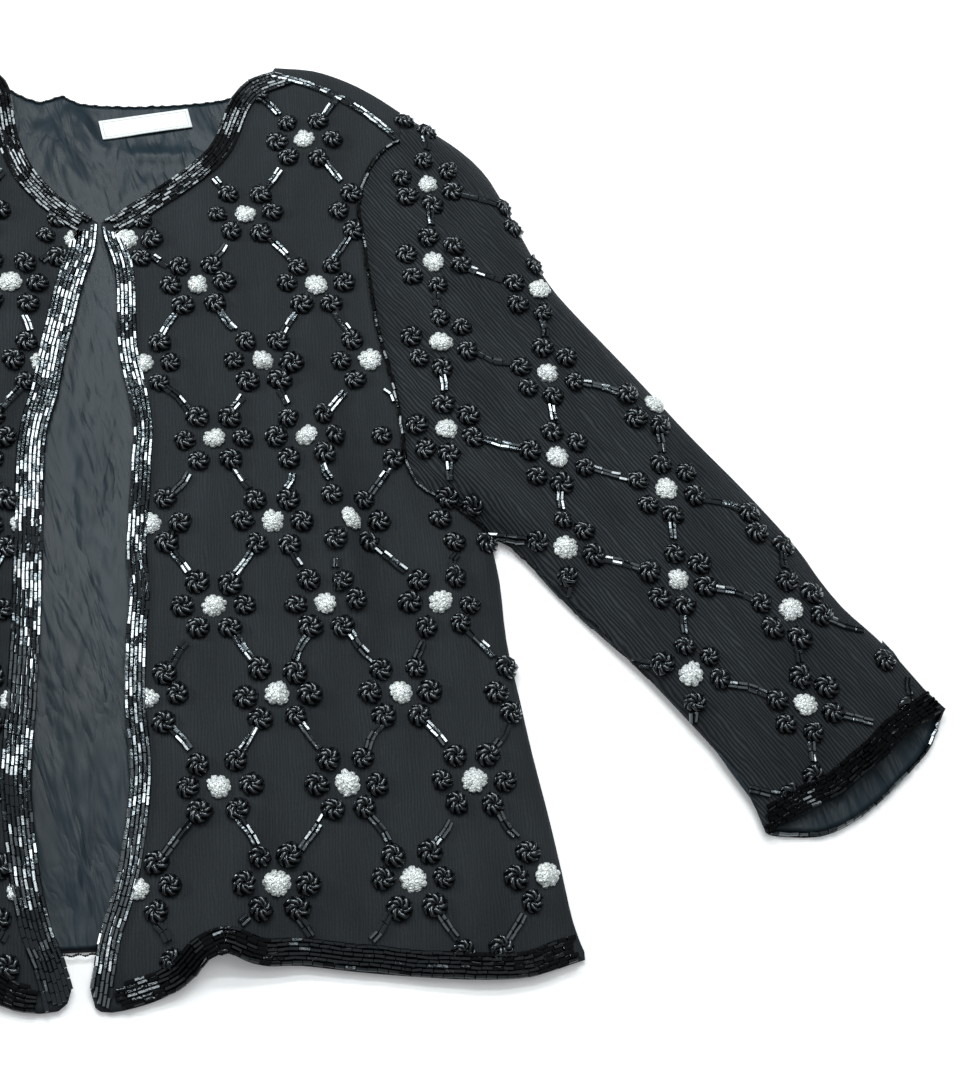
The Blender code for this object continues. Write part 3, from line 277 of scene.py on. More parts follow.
def frontTop(x, y, hand):
    z = lay["body"] + foldsAt(x, y, frontFolds)
    for cx, cy, wide, tall, height in swells:
        z = z + height * np.exp(-(((x - cx) / wide) ** 2) - ((y - cy) / tall) ** 2)
    z = crinkled(z, x, y, "front")
    away = nearestOn(x, y, curves["opening", hand])[0]
    z = settled(z, lay["opening"], away, holds["opening"])
    for edge in ("neck", "hem"):
        away, row = nearestOn(x, y, curves[edge, hand])
        z = settled(z, row[..., 2], away, holds[edge])
    low = smooth((lay["hemFrom"] - y) / lay["hemOver"])
    z = np.maximum(z, lay["opening"]) * (1 - low) + np.minimum(z, row[..., 2]) * low
    away, row = nearestOn(x, y, curves["shoulder"])
    z = blend(z, row[..., 2], away, holds["shoulder"])
    away, row = nearestOn(x, y, curves["armhole"])
    z = blend(z, row[..., 2], away, row[..., 3])
    away = nearestOn(x, y, curves["side"])[0]
    return lay["side"] + (z - lay["side"]) * rounding(away / lay["sideRound"])


def sleeveEdges(x, y):  # distance to the nearer long fold of the sleeve, and its height
    away = np.minimum(nearestOn(x, y, curves["upper"])[0], nearestOn(x, y, curves["lower"])[0])
    head, pit = curves["upper"][0], curves["lower"][0]
    fromHead, fromPit = np.hypot(x - head[0], y - head[1]), np.hypot(x - pit[0], y - pit[1])
    z = blend(lay["fold"], lay["foldShoulder"], fromHead, holds["head"])
    return away, blend(z, lay["foldUnderarm"], fromPit, holds["underarm"])


def sleeveTop(x, y):
    away = np.hypot(x - sleeveRun["x"], y - sleeveRun["y"])
    run = smooth((away - sleeveRun["start"]) / sleeveRun["length"])
    z = lay["sleeveTop"] * (1 - run) + lay["sleeveCuff"] * run + foldsAt(x, y, sleeveFolds)
    z = crinkled(z, x, y, "sleeve")
    away, row = nearestOn(x, y, curves["cuff"])
    z = settled(z, row[..., 2], away, holds["cuff"])
    away, row = nearestOn(x, y, curves["armhole"])
    z = blend(z, row[..., 2], away, row[..., 3])
    away, edge = sleeveEdges(x, y)
    return edge + np.maximum(z - edge, -lay["sag"]) * rounding(away / lay["topRound"])


def sleeveUnder(x, y):
    away, edge = sleeveEdges(x, y)
    return edge * (1 - rounding(away / lay["underRound"]))


openingOutline = np.concatenate([
    curves["opening", "left"], curves["neck", "left"][:, :2],
    (curves["neck", "right"][:, :2] * (-1, 1))[::-1], (curves["opening", "right"] * (-1, 1))[::-1],
])


label = {"centre": (0.0125, 0.2890), "size": (0.064, 0.0165), "turn": 11.5, "lift": 0.0012}


def labelAway(x, y):  # distance from the label, 0 under it
    c, s = math.cos(math.radians(label["turn"])), math.sin(math.radians(label["turn"]))
    dx, dy = x - label["centre"][0], y - label["centre"][1]
    along = np.maximum(np.abs(dx * c + dy * s) - label["size"][0] / 2, 0)
    return np.hypot(along, np.maximum(np.abs(dy * c - dx * s) - label["size"][1] / 2, 0))


def liningTop(x, y):
    away = nearestOn(x, y, openingOutline)[0]
    share = smooth(away / holds["lining"]) * (0.15 + 0.85 * smooth(labelAway(x, y) / holds["label"]))
    relief = foldsAt(x, y, liningFolds) + crinkled(0, x, y, "lining")
    return lay["lining"] + np.where(insideOf(openingOutline, x, y), relief * share, 0)


def onSurface(height, x, y):  # places on a laid surface, with their normals
    step = 0.0012
    dx = (height(x + step, y) - height(x - step, y)) / (2 * step)
    dy = (height(x, y + step) - height(x, y - step)) / (2 * step)
    normal = np.stack([-dx, -dy, np.ones_like(dx)], -1)
    normal /= np.linalg.norm(normal, axis=-1, keepdims=True)
    return np.stack([x, y, height(x, y)], -1), normal


# Finishes
class Wire:  # a node's output that adds Math nodes when it is used in an expression
    def __init__(self, finish, socket):
        self.finish, self.socket = finish, socket

    def maths(self, operation, first, second):
        return self.finish.node("ShaderNodeMath", {"operation": operation}, {0: first, 1: second})

    def __add__(self, other):
        return self.maths("ADD", self, other)

    def __radd__(self, other):
        return self.maths("ADD", other, self)

    def __sub__(self, other):
        return self.maths("SUBTRACT", self, other)

    def __rsub__(self, other):
        return self.maths("SUBTRACT", other, self)

    def __mul__(self, other):
        return self.maths("MULTIPLY", self, other)

    def __rmul__(self, other):
        return self.maths("MULTIPLY", other, self)

    def __gt__(self, other):
        return self.maths("GREATER_THAN", self, other)

    def __lt__(self, other):
        return self.maths("LESS_THAN", self, other)


class Finish:  # a material with its Principled shader and the nodes that feed it
    def __init__(self, name, **fixed):
        self.material = bpy.data.materials.new(name)
        self.material.use_nodes = True
        self.nodes, self.links = self.material.node_tree.nodes, self.material.node_tree.links
        self.shader = self.nodes["Principled BSDF"]
        for socket, value in fixed.items():
            self.shader.inputs[socket.replace("_", " ")].default_value = value

    def node(self, kind, settings, inputs, out=0):
        made = self.nodes.new(kind)
        for key, value in settings.items():
            if key == "stops":
                ramp = made.color_ramp.elements
                for spot, (place, colour) in zip((ramp[0], ramp[-1]), (value[0], value[-1])):
                    spot.position, spot.color = place, colour
                for place, colour in value[1:-1]:
                    ramp.new(place).color = colour
            else:
                setattr(made, key, value)
        for key, value in inputs.items():
            self.feed(made.inputs[key], value)
        return Wire(self, made.outputs[out])

    def feed(self, socket, value):
        if isinstance(value, Wire):
            self.links.new(value.socket, socket)
        else:
            socket.default_value = value

    def place(self, scale=(1, 1, 1), turn=0.0, source="Object"):
        where = self.node("ShaderNodeTexCoord", {}, {}, source)
        spin = (0, 0, math.radians(turn))
        turned = self.node("ShaderNodeMapping", {}, {"Vector": where, "Rotation": spin})
        return self.node("ShaderNodeMapping", {}, {"Vector": turned, "Scale": scale})

    def noise(self, vector, scale, detail=2.0, rough=0.5, warp=0.0):
        values = {"Vector": vector, "Scale": scale, "Detail": detail, "Roughness": rough,
                  "Distortion": warp}
        return self.node("ShaderNodeTexNoise", {}, values, "Fac")

    def ridges(self, vector, scale, warp, fine):  # wavy ridges one beside another along X
        values = {"Vector": vector, "Scale": scale, "Distortion": warp, "Detail": 2.0,
                  "Detail Scale": fine}
        return self.node("ShaderNodeTexWave", {}, values, "Fac")

    def cells(self, feature, scale):
        values = {"Vector": self.place(), "Scale": scale}
        return self.node("ShaderNodeTexVoronoi", {"feature": feature}, values, "Distance")

    def mix(self, share, first, second):
        settings = {"data_type": "RGBA"}
        return self.node("ShaderNodeMix", settings, {0: share, 6: first, 7: second}, 2)

    def maximum(self, first, second):
        return self.node("ShaderNodeMath", {"operation": "MAXIMUM"}, {0: first, 1: second})

    def unsigned(self, value):
        return self.node("ShaderNodeMath", {"operation": "ABSOLUTE"}, {0: value})

    def relief(self, height, distance, strength=1.0):
        values = {"Height": height, "Distance": distance, "Strength": strength}
        self.feed(self.shader.inputs["Normal"], self.node("ShaderNodeBump", {}, values))


crepe = {  # crinkled sheer cloth: the crinkle runs along the cut of each piece
    "dark": (0.0036, 0.0043, 0.0050, 1), "pale": (0.034, 0.040, 0.045, 1),
    "slack": 0.26, "warp": 8,
    "body": (160, 0.00016, 0.16), "sleeve": (136, 0.00060, 0.66),  # ridges, depth, share of painted crinkle shade in the colour
}


def crepeFinish(name, kind, turn):
    count, depth, share = crepe[kind]
    cloth = Finish(name, Roughness=0.86, Specular_IOR_Level=0.12, Sheen_Weight=0.03,
                   Sheen_Roughness=0.45, Sheen_Tint=(0.75, 0.85, 0.95, 1))
    ridges = cloth.ridges(cloth.place((1, crepe["slack"], 1), turn), count, crepe["warp"], 0.9)
    drift = cloth.noise(cloth.place((1, 0.45, 1), turn), 34, 2)
    grain = cloth.noise(cloth.place(), 1500, 2, 0.7)
    crinkle = ridges * (0.30 + 1.30 * drift)
    # the colour follows the crinkle ridges: painted shade in their grooves and painted light on their
    # crests, over random grain and drift
    toneAndShade = share * crinkle + (1 - share) * grain + 0.30 * (drift - 0.5)
    cloth.feed(cloth.shader.inputs["Base Color"], cloth.mix(toneAndShade, crepe["dark"], crepe["pale"]))
    cloth.feed(cloth.shader.inputs["Roughness"], 0.78 + 0.14 * grain)
    cloth.relief(crinkle + 0.12 * grain, depth)
    return cloth.material


def satinFinish():
    satin = Finish("greySatin", Roughness=0.42, Specular_IOR_Level=0.20, Anisotropic=0.35)
    slub = satin.noise(satin.place((420, 30, 40), 6), 1.0, 3, 0.6, 0.3)
    crush = satin.noise(satin.place((34, 9, 20), -10), 1.0, 2, 0.5, 0.6)
    crease = satin.unsigned(satin.noise(satin.place((56, 13, 20), -14), 1.0, 3, 0.50, 0.5) - 0.5)
    cloud = satin.noise(satin.place(), 10, 2, 0.5, 0.4)
    # the colour follows the crush and crease relief: painted light on the crush and painted shade in the
    # creases, over random cloud and slub tone
    toneAndShade = 0.50 * cloud + 0.25 * crush + 0.20 * slub + 0.5 * crease
    dark, light = (0.0012, 0.0042, 0.0068, 1), (0.0190, 0.0340, 0.0445, 1)
    satin.feed(satin.shader.inputs["Base Color"], satin.mix(toneAndShade, dark, light))
    satin.feed(satin.shader.inputs["Roughness"], 0.32 + 0.16 * crush)
    satin.relief(0.7 * crush + 0.8 * crease + 0.03 * slub, 0.0046)
    return satin.material


def beadFinish(name, colour, roughness, shine=1.0):
    bead = Finish(name, Base_Color=colour, Roughness=roughness, Coat_Weight=max(shine, 0.0),
                  Coat_Roughness=0.05, IOR=1.45 + 0.30 * shine, Specular_Tint=(0.86, 0.95, 1.0, 1),
                  Coat_Tint=(0.90, 0.97, 1.0, 1))
    speck = bead.noise(bead.place(), 420, 2)
    bead.feed(bead.shader.inputs["Roughness"], roughness * 0.6 + roughness * 0.9 * speck)
    bead.relief(speck, 0.00012)
    return bead.material


def crystalFinish():
    crystal = Finish("paleSeedBeads", Roughness=0.16, Coat_Weight=0.8, Coat_Roughness=0.05, IOR=1.5)
    edge = crystal.cells("DISTANCE_TO_EDGE", 460)
    cloud = crystal.noise(crystal.place(), 620, 2, 0.6)
    # dark at the cell edges, the grooves between the seed beads: painted shade between the beads, under
    # a mottled tone
    stops = [(0.24, (0.06, 0.07, 0.07, 1)), (0.36, (0.54, 0.59, 0.58, 1)), (0.50, (0.90, 0.94, 0.92, 1))]
    toneAndShade = crystal.node("ShaderNodeValToRGB", {"stops": stops}, {"Fac": 0.6 * edge + 0.72 * cloud})
    crystal.feed(crystal.shader.inputs["Base Color"], toneAndShade)
    crystal.relief(edge + 0.4 * cloud, 0.0018)
    return crystal.material


def labelFinish():
    woven = Finish("labelRibbon", Roughness=0.6, Sheen_Weight=0.15)
    across = woven.noise(woven.place((900, 240, 1), label["turn"]), 1.0, 1)
    flat = woven.node("ShaderNodeUVMap", {}, {}, "UV")
    split = woven.node("ShaderNodeSeparateXYZ", {}, {"Vector": flat})
    rise = Wire(woven, split.socket.node.outputs[1])
    aside, aloft = woven.unsigned(split - 0.5), woven.unsigned(rise - 0.5)
    sideLine = (aside > 0.462) * (aside < 0.472) * (aloft < 0.40)
    longLine = (aloft > 0.36) * (aloft < 0.40) * (aside < 0.472)
    line = woven.maximum(sideLine, longLine)
    plain = woven.mix(across, (0.66, 0.70, 0.69, 1), (0.86, 0.89, 0.88, 1))
    woven.feed(woven.shader.inputs["Base Color"], woven.mix(line * 0.6, plain, (0.25, 0.27, 0.28, 1)))
    woven.relief(across, 0.0004)
    return woven.material


finishes = {
    "body": crepeFinish("crepeBody", "body", 0), "sleeve": crepeFinish("crepeSleeve", "sleeve", -36),
    "sleeveRight": crepeFinish("crepeSleeveRight", "sleeve", 36), "satin": satinFinish(),
    "beads": beadFinish("blackBeads", (0.0030, 0.0034, 0.0040, 1), 0.09),
    # darker, duller copies of the black bugle finish for the neck band, hem, armhole and cuff: painted
    # shade, as the same beads lie there
    "shadedNeckBeads": beadFinish("blackNeckBeadsShaded", (0.0016, 0.0018, 0.0022, 1), 0.09, 0.1),
    "shadedHemBeads": beadFinish("blackHemBeadsShaded", (0.0012, 0.0014, 0.0017, 1), 0.08, -0.2),
    "shadedCuffBeads": beadFinish("blackCuffBeadsShaded", (0.0006, 0.0007, 0.0008, 1), 0.08, -0.5),
    "rosette": beadFinish("blackRosettes", (0.0018, 0.0020, 0.0024, 1), 0.20, 0.45),
    "edging": beadFinish("blackEdging", (0.0040, 0.0044, 0.0050, 1), 0.60, 0.0),
    "crystal": crystalFinish(), "label": labelFinish(),
}
print("finishes made:", len(finishes))


# Shaping
def linked(name, data):
    holder = bpy.data.objects.new(name, data)
    bpy.context.scene.collection.objects.link(holder)
    return holder


def newPiece(name, points, faces, finish, flip=False):
    points = np.asarray(points, float) * ((-1, 1, 1) if flip else (1, 1, 1))
    faces = np.asarray(faces)[:, ::-1] if flip else faces
    mesh = bpy.data.meshes.new(name)
    mesh.from_pydata(points.tolist(), [], np.asarray(faces).tolist())
    mesh.materials.append(finish)
    mesh.shade_smooth()
    piece = linked(name, mesh)
    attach(piece, "root")
    return piece


def gridFaces(rows, columns, joined=False):  # quads of a grid; joined closes the columns
    j, i = np.meshgrid(np.arange(rows - 1), np.arange(columns if joined else columns - 1), indexing="ij")
    a, b = j * columns + i, j * columns + (i + 1) % columns
    return np.stack([a, b, b + columns, a + columns], -1).reshape(-1, 4)


def asCloth(piece, thickness, node=None):  # thickens a sheet, and hides the part it stands for, where one is given
    bpy.ops.object.select_all(action="DESELECT")
    bpy.context.view_layer.objects.active = piece
    piece.select_set(True)
    wall = piece.modifiers.new("wall", "SOLIDIFY")
    wall.thickness, wall.offset = thickness, -1
    bpy.ops.object.modifier_apply(modifier=wall.name)
    piece.data.shade_smooth()
    if node:
        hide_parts(node)
    return piece


def panelLimits(hand):  # x of the opening side and of the outer side, by y
    inner = np.concatenate([curves["opening", hand], curves["neck", hand][1:, :2]])
    outer = np.concatenate([curves["side"][::-1], curves["armhole"][::-1][1:, :2],
                            curves["shoulder"][::-1][1:, :2]])
    return inner, outer


panel = {"head": 0.3306, "tall": 0.650, "wide": 0.285, "hemEase": 0.050}


def makeFront(hand):
    inner, outer = panelLimits(hand)
    hem = curves["hem", hand][::-1]
    foot = inner[0, 1]
    level = np.linspace(foot, panel["head"], int(panel["tall"] / lay["step"]))[:, None]
    u = np.linspace(0, 1, int(panel["wide"] / lay["step"]))[None, :]
    low = np.interp(level, inner[:, 1], inner[:, 0])
    high = np.interp(level, outer[:, 1], outer[:, 0])
    x = low + u * (high - low)
    drop = np.interp(x, hem[:, 0], hem[:, 1]) - foot
    y = level + drop * (1 - np.clip((level - foot) / panel["hemEase"], 0, 1)) ** 2
    points = np.stack([x, y, frontTop(x, y, hand)], -1).reshape(-1, 3)
    faces = gridFaces(*x.shape)
    piece = newPiece("front" + hand.title(), points, faces, finishes["body"], hand == "right")
    return asCloth(piece, lay["cloth"], "front_" + hand)


def stretched(top, bottom, first, last):  # grid of plan places between four edges
    s = np.linspace(0, 1, len(first))[:, None, None]
    t = np.linspace(0, 1, len(top))[None, :, None]
    ends = (1 - s) * top[None] + s * bottom[None]
    sides = (1 - t) * first[:, None] + t * last[:, None]
    corners = (1 - s) * ((1 - t) * top[0] + t * top[-1]) + s * ((1 - t) * bottom[0] + t * bottom[-1])
    return ends + sides - corners


def easedRow(curve, count):  # stations closer together at both ends
    t = np.linspace(0, 1, count)
    t = 0.45 * t + 0.55 * (0.5 - 0.5 * np.cos(np.pi * t))
    dense = evenly(curve, 400)
    return np.stack([np.interp(t, np.linspace(0, 1, 400), dense[:, k]) for k in (0, 1)], 1)


def relaxed(plan, corner, reach, turns):  # evens a grid out near a corner, so that it can't fold over
    plan = plan.copy()
    near = np.exp(-((np.linalg.norm(plan - corner, axis=-1) / reach) ** 2))[1:-1, 1:-1, None]
    for _ in range(turns):
        middle = (plan[:-2, 1:-1] + plan[2:, 1:-1] + plan[1:-1, :-2] + plan[1:-1, 2:]) / 4
        plan[1:-1, 1:-1] += near * (middle - plan[1:-1, 1:-1])
    return plan


sleeveGrid = {"length": 0.560, "across": 56, "reach": 0.060, "turns": 60}


def makeSleeve(hand):
    along, across = int(sleeveGrid["length"] / lay["step"]), sleeveGrid["across"]
    head = np.array([sleeveUpper[0]])
    armTop = easedRow(np.concatenate([head, curves["armhole"][:, :2]]), across)
    edges = [evenly(curves[name], along) for name in ("upper", "lower")]
    cuffs = [easedRow(curves["cuff"][:, k], across) for k in (slice(0, 2), slice(3, 5))]
    ease = sleeveLower[0], sleeveGrid["reach"], sleeveGrid["turns"]
    plans = [relaxed(stretched(armTop, row, *edges), *ease) for row in cuffs]
    topPlan, underPlan = plans[0], plans[1][:, 1:-1][:, ::-1]
    top = np.concatenate([topPlan, sleeveTop(*topPlan.transpose(2, 0, 1))[..., None]], -1)
    under = np.concatenate([underPlan, sleeveUnder(*underPlan.transpose(2, 0, 1))[..., None]], -1)
    ring = np.concatenate([top, under], 1)
    faces = gridFaces(ring.shape[0], ring.shape[1], True)
    flip = hand == "right"
    finish = finishes["sleeveRight" if flip else "sleeve"]
    piece = newPiece("sleeve" + hand.title(), ring.reshape(-1, 3), faces, finish, flip)
    return asCloth(piece, lay["cloth"], "sleeve_" + hand)


cuffSatin = {  # satin that shows on the under layer inside the cuff
    "inward": (-0.503, 0.864), "from": 0.0022, "to": 0.060, "narrower": 0.93, "lift": 0.0006,
    "swell": 0.0010,
}


def makeCuffLining(hand):
    edge = easedRow(curves["cuff"][:, 3:], 40)
    depth = np.linspace(cuffSatin["from"], cuffSatin["to"], 18)[:, None, None]
    plan = edge[None] + np.array(cuffSatin["inward"]) * depth
    middle = plan[:, len(edge) // 2][:, None]
    plan = middle + (plan - middle) * cuffSatin["narrower"]
    z = sleeveUnder(*plan.transpose(2, 0, 1)) + lay["cloth"] + cuffSatin["lift"]
    z = crinkled(z + cuffSatin["swell"], plan[..., 0], plan[..., 1], "cuffLining")
    points = np.concatenate([plan, z[..., None]], -1).reshape(-1, 3)
    faces = gridFaces(*plan.shape[:2])[:, ::-1]
    piece = newPiece("cuffLining" + hand.title(), points, faces, finishes["satin"], hand == "right")
    return asCloth(piece, lay["cuffSatin"])


def hemDrop(x, level, foot, hem):  # takes the straight foot of a back piece down to its hem
    drop = np.interp(x, curves["backHem"][:, 0], curves["backHem"][:, 1]) + hem
    return drop * (1 - np.clip((level - foot) / 0.04, 0, 1))


backCut = {"foot": -0.308, "head": 0.306, "hem": 0.308, "bend": 0.25, "over": 0.056, "roll": 0.007}
liningCut = {"foot": -0.308, "head": 0.300, "hem": 0.310, "bend": 0.255, "over": 0.045,
             "neckGap": 0.0015}


def makeBack():
    corner = [(0.1935, backCut["head"])]
    side = np.concatenate([curves["side"][::-1], curves["armhole"][::-1][1:, :2], corner])
    seam = evenly(curves["shoulder"], 30)
    out = seam[:, 3:] - seam[:, :2]
    reach = np.linalg.norm(out, axis=1, keepdims=True)
    out = out / reach
    start = seam[:, 3:] - out * backCut["roll"]
    neck = curves["backNeck"]
    top = np.concatenate([(start * (-1, 1))[::-1], neck[(abs(neck[:, 0]) < 0.100)], start])
    level = np.linspace(backCut["foot"], backCut["head"], 90)[:, None]
    u = np.linspace(-1, 1, 121)[None, :]
    x = np.interp(level, side[:, 1], side[:, 0]) * u
    rise = np.interp(x, top[:, 0], top[:, 1]) - backCut["head"]
    y = level + rise * np.clip((level - backCut["bend"]) / backCut["over"], 0, 1) ** 2
    y = y + hemDrop(x, level, backCut["foot"], backCut["hem"])
    points = [np.stack([x, y, np.zeros_like(x)], -1).reshape(-1, 3)]
    faces = [gridFaces(*x.shape)[:, ::-1]]
    turns = np.radians(np.linspace(-90, 90, 17))[None, :, None]
    radius = (seam[:, 2] / 2)[:, None, None]
    back = np.where(turns < 0, backCut["roll"], reach[:, None])
    plan = seam[:, None, 3:] - out[:, None] * back * (1 - np.cos(turns))
    roll = np.concatenate([plan, radius * (1 + np.sin(turns))], -1)
    count = len(points[0])
    for mirror in (1, -1):
        points.append((roll * (mirror, 1, 1)).reshape(-1, 3))
        quads = gridFaces(*roll.shape[:2])
        faces.append((quads if mirror == 1 else quads[:, ::-1]) + count)
        count += roll.shape[0] * roll.shape[1]
    points, faces = np.concatenate(points), np.concatenate(faces)
    piece = newPiece("backPanel", points, faces, finishes["body"])
    return asCloth(piece, lay["backCloth"], "back")


def makeLining():
    side = np.array([(0.262, -0.312), (0.232, -0.110), (0.224, -0.045), (0.196, -0.018),
                     (0.172, 0.010), (0.165, 0.080), (0.158, 0.120), (0.150, 0.215),
                     (0.152, 0.250), (0.148, 0.300)])
    u = np.linspace(-1, 1, 206)[None, :]
    u = 0.35 * u + 0.65 * u**3  # stations gather where the lining shows
    level = np.linspace(liningCut["foot"], liningCut["head"], 224)[:, None]
    x = np.interp(level, side[:, 1], side[:, 0]) * u
    neck = curves["backNeck"]
    rise = np.interp(x, neck[:, 0], neck[:, 1] - liningCut["neckGap"]) - liningCut["head"]
    rise = np.where(abs(x) > 0.10, 0.0, rise)
    y = level + rise * np.clip((level - liningCut["bend"]) / liningCut["over"], 0, 1)
    y = y + hemDrop(x, level, liningCut["foot"], liningCut["hem"])
    points = np.stack([x, y, liningTop(x, y)], -1).reshape(-1, 3)
    faces = gridFaces(*x.shape)
    piece = newPiece("backLining", points, faces, finishes["satin"])
    return asCloth(piece, lay["liningCloth"], "lining_back")


def makeLabel():
    u, v = np.meshgrid(np.linspace(-0.5, 0.5, 40), np.linspace(-0.5, 0.5, 12))
    c, s = math.cos(math.radians(label["turn"])), math.sin(math.radians(label["turn"]))
    along, across = u * label["size"][0], v * label["size"][1]
    x = label["centre"][0] + along * c - across * s
    y = label["centre"][1] + along * s + across * c
    curl = 0.0009 * smooth((0.1 - v) / 0.6) * (0.6 + 0.4 * np.sin(6 * u + 1))
    z = liningTop(x, y) + label["lift"] + curl
    points = np.stack([x, y, z], -1).reshape(-1, 3)
    faces = gridFaces(*u.shape)
    piece = newPiece("neckLabel", points, faces, finishes["label"])
    flat = piece.data.uv_layers.new(name="UVMap")
    corners = np.stack([u + 0.5, v + 0.5], -1).reshape(-1, 2)[faces.reshape(-1)]
    flat.data.foreach_set("uv", corners.reshape(-1).tolist())
    return asCloth(piece, lay["ribbon"], "label")


# Single beads and rosettes, each modelled once
beads = {
    "bugle": 0.0062, "radius": 0.00138, "sides": 6, "pitch": 0.0026, "gap": 0.0002,
    "endBevel": 0.00014, "turned": 0.52, "tilted": 0.09,
    "dark": 0.0075, "darkHeight": 0.0035, "arms": 7, "rope": 0.0018, "crumple": 0.0009,
    "pale": 0.0077, "scallops": 9, "seed": 0.00085,
    "ring": 0.0188, "ringAngles": (0, 55, 125, 180, 235, 305),
}
ropeRows = [  # share of the rosette's radius, turn, share of its height, thickness
    (0.12, 0, 0.86, 0.60), (0.46, 42, 0.86, 1.00), (0.80, 72, 0.52, 1.10), (0.97, 104, 0.12, 0.50),
]
domeRows = [(0.96, 0.0013), (0.74, 0.0030), (0.40, 0.0040), (0.0, 0.0044)]  # share, height


def pickPoints(choose):  # selects vertices by their place, ready for an edit
    bpy.ops.object.mode_set(mode="EDIT")
    bpy.context.tool_settings.mesh_select_mode = (True, False, False)
    bpy.ops.mesh.select_all(action="DESELECT")
    bpy.ops.object.mode_set(mode="OBJECT")
    for vertex in bpy.context.active_object.data.vertices:
        vertex.select = bool(choose(vertex.co))
    bpy.ops.object.mode_set(mode="EDIT")


def asTemplate():  # takes the active piece apart into points, corners and face starts
    bpy.ops.object.mode_set(mode="OBJECT")
    shaped = bpy.context.active_object
    mesh = shaped.data
    points = np.zeros(len(mesh.vertices) * 3)
    corners = np.zeros(len(mesh.loops), np.int32)
    starts = np.zeros(len(mesh.polygons), np.int32)
    mesh.vertices.foreach_get("co", points)
    mesh.loops.foreach_get("vertex_index", corners)
    mesh.polygons.foreach_get("loop_start", starts)
    bpy.data.objects.remove(shaped)
    return points.reshape(-1, 3), corners, starts


def modelBugle():
    bpy.ops.object.select_all(action="DESELECT")
    bpy.ops.mesh.primitive_cylinder_add(vertices=beads["sides"], radius=beads["radius"],
                                        depth=beads["bugle"])
    half = beads["bugle"] / 2
    for end in (half, -half):
        pickPoints(lambda co: abs(co.z - end) < 1e-5)
        bpy.ops.mesh.bevel(offset=beads["endBevel"], segments=1)
    return asTemplate()


def modelRosette():  # ropes of beads, each curling from the middle down to the rim
    rope = bpy.data.curves.new("rope", "CURVE")
    rope.dimensions, rope.bevel_depth, rope.bevel_resolution = "3D", beads["rope"], 0
    rope.use_fill_caps = True
    spline = rope.splines.new("POLY")
    spline.points.add(3)
    for point, (reach, turn, rise, thick) in zip(spline.points, ropeRows):
        spread = reach * beads["dark"]
        angle = math.radians(turn)
        level = rise * beads["darkHeight"]
        point.co = (spread * math.cos(angle), spread * math.sin(angle), level, 1)
        point.radius = thick
    bpy.ops.object.select_all(action="DESELECT")
    arm = linked("rope", rope)
    arm.select_set(True)
    bpy.context.view_layer.objects.active = arm
    bpy.ops.object.convert(target="MESH")
    bpy.ops.object.mode_set(mode="EDIT")
    bpy.ops.mesh.select_all(action="SELECT")
    bpy.ops.mesh.remove_doubles(threshold=0.00002)
    bpy.ops.mesh.spin(steps=beads["arms"], dupli=True, angle=2 * math.pi, center=(0, 0, 0),
                      axis=(0, 0, 1))
    bpy.ops.mesh.select_all(action="SELECT")
    bpy.ops.mesh.remove_doubles(threshold=0.00002)
    bpy.ops.mesh.normals_make_consistent(inside=False)
    return asTemplate()


def modelSeed():
    bpy.ops.object.select_all(action="DESELECT")
    bpy.ops.mesh.primitive_ico_sphere_add(subdivisions=1, radius=beads["seed"])
    bpy.ops.object.mode_set(mode="EDIT")
    bpy.ops.transform.resize(value=(1, 1, 0.8), center_override=(0, 0, 0))
    return asTemplate()


def modelPale():  # a low dome with a scalloped rim
    bpy.ops.object.select_all(action="DESELECT")
    count, width = 4 * beads["scallops"], 1.0
    bpy.ops.mesh.primitive_circle_add(vertices=count, radius=beads["pale"], fill_type="NGON")
    bpy.ops.object.mode_set(mode="EDIT")
    bpy.context.tool_settings.mesh_select_mode = (False, False, True)
    bpy.ops.mesh.select_all(action="SELECT")
    level = 0.0
    for share, height in domeRows:
        bpy.ops.mesh.extrude_region_move(TRANSFORM_OT_translate={"value": (0, 0, height - level)})
        narrow = share / width
        bpy.ops.transform.resize(value=(narrow, narrow, 1), center_override=(0, 0, height))
        level, width = height, share
    bpy.ops.mesh.select_all(action="SELECT")
    bpy.ops.mesh.remove_doubles(threshold=0.00002)
    step = 2 * math.pi / count
    pickPoints(lambda co: co.xy.length > 0.005 and round(math.atan2(co.x, co.y) / step) % 4 == 2)
    bpy.ops.transform.resize(value=(0.86, 0.86, 0.70), center_override=(0, 0, 0))
    bpy.ops.mesh.select_all(action="SELECT")
    bpy.ops.mesh.normals_make_consistent(inside=False)
    return asTemplate()


def framesOf(main, hint):  # local Z follows main, and local Y leans towards hint
    z = main / np.linalg.norm(main, axis=1, keepdims=True)
    x = np.cross(hint, z)
    x /= np.linalg.norm(x, axis=1, keepdims=True)
    return np.stack([x, np.cross(z, x), z], -1)


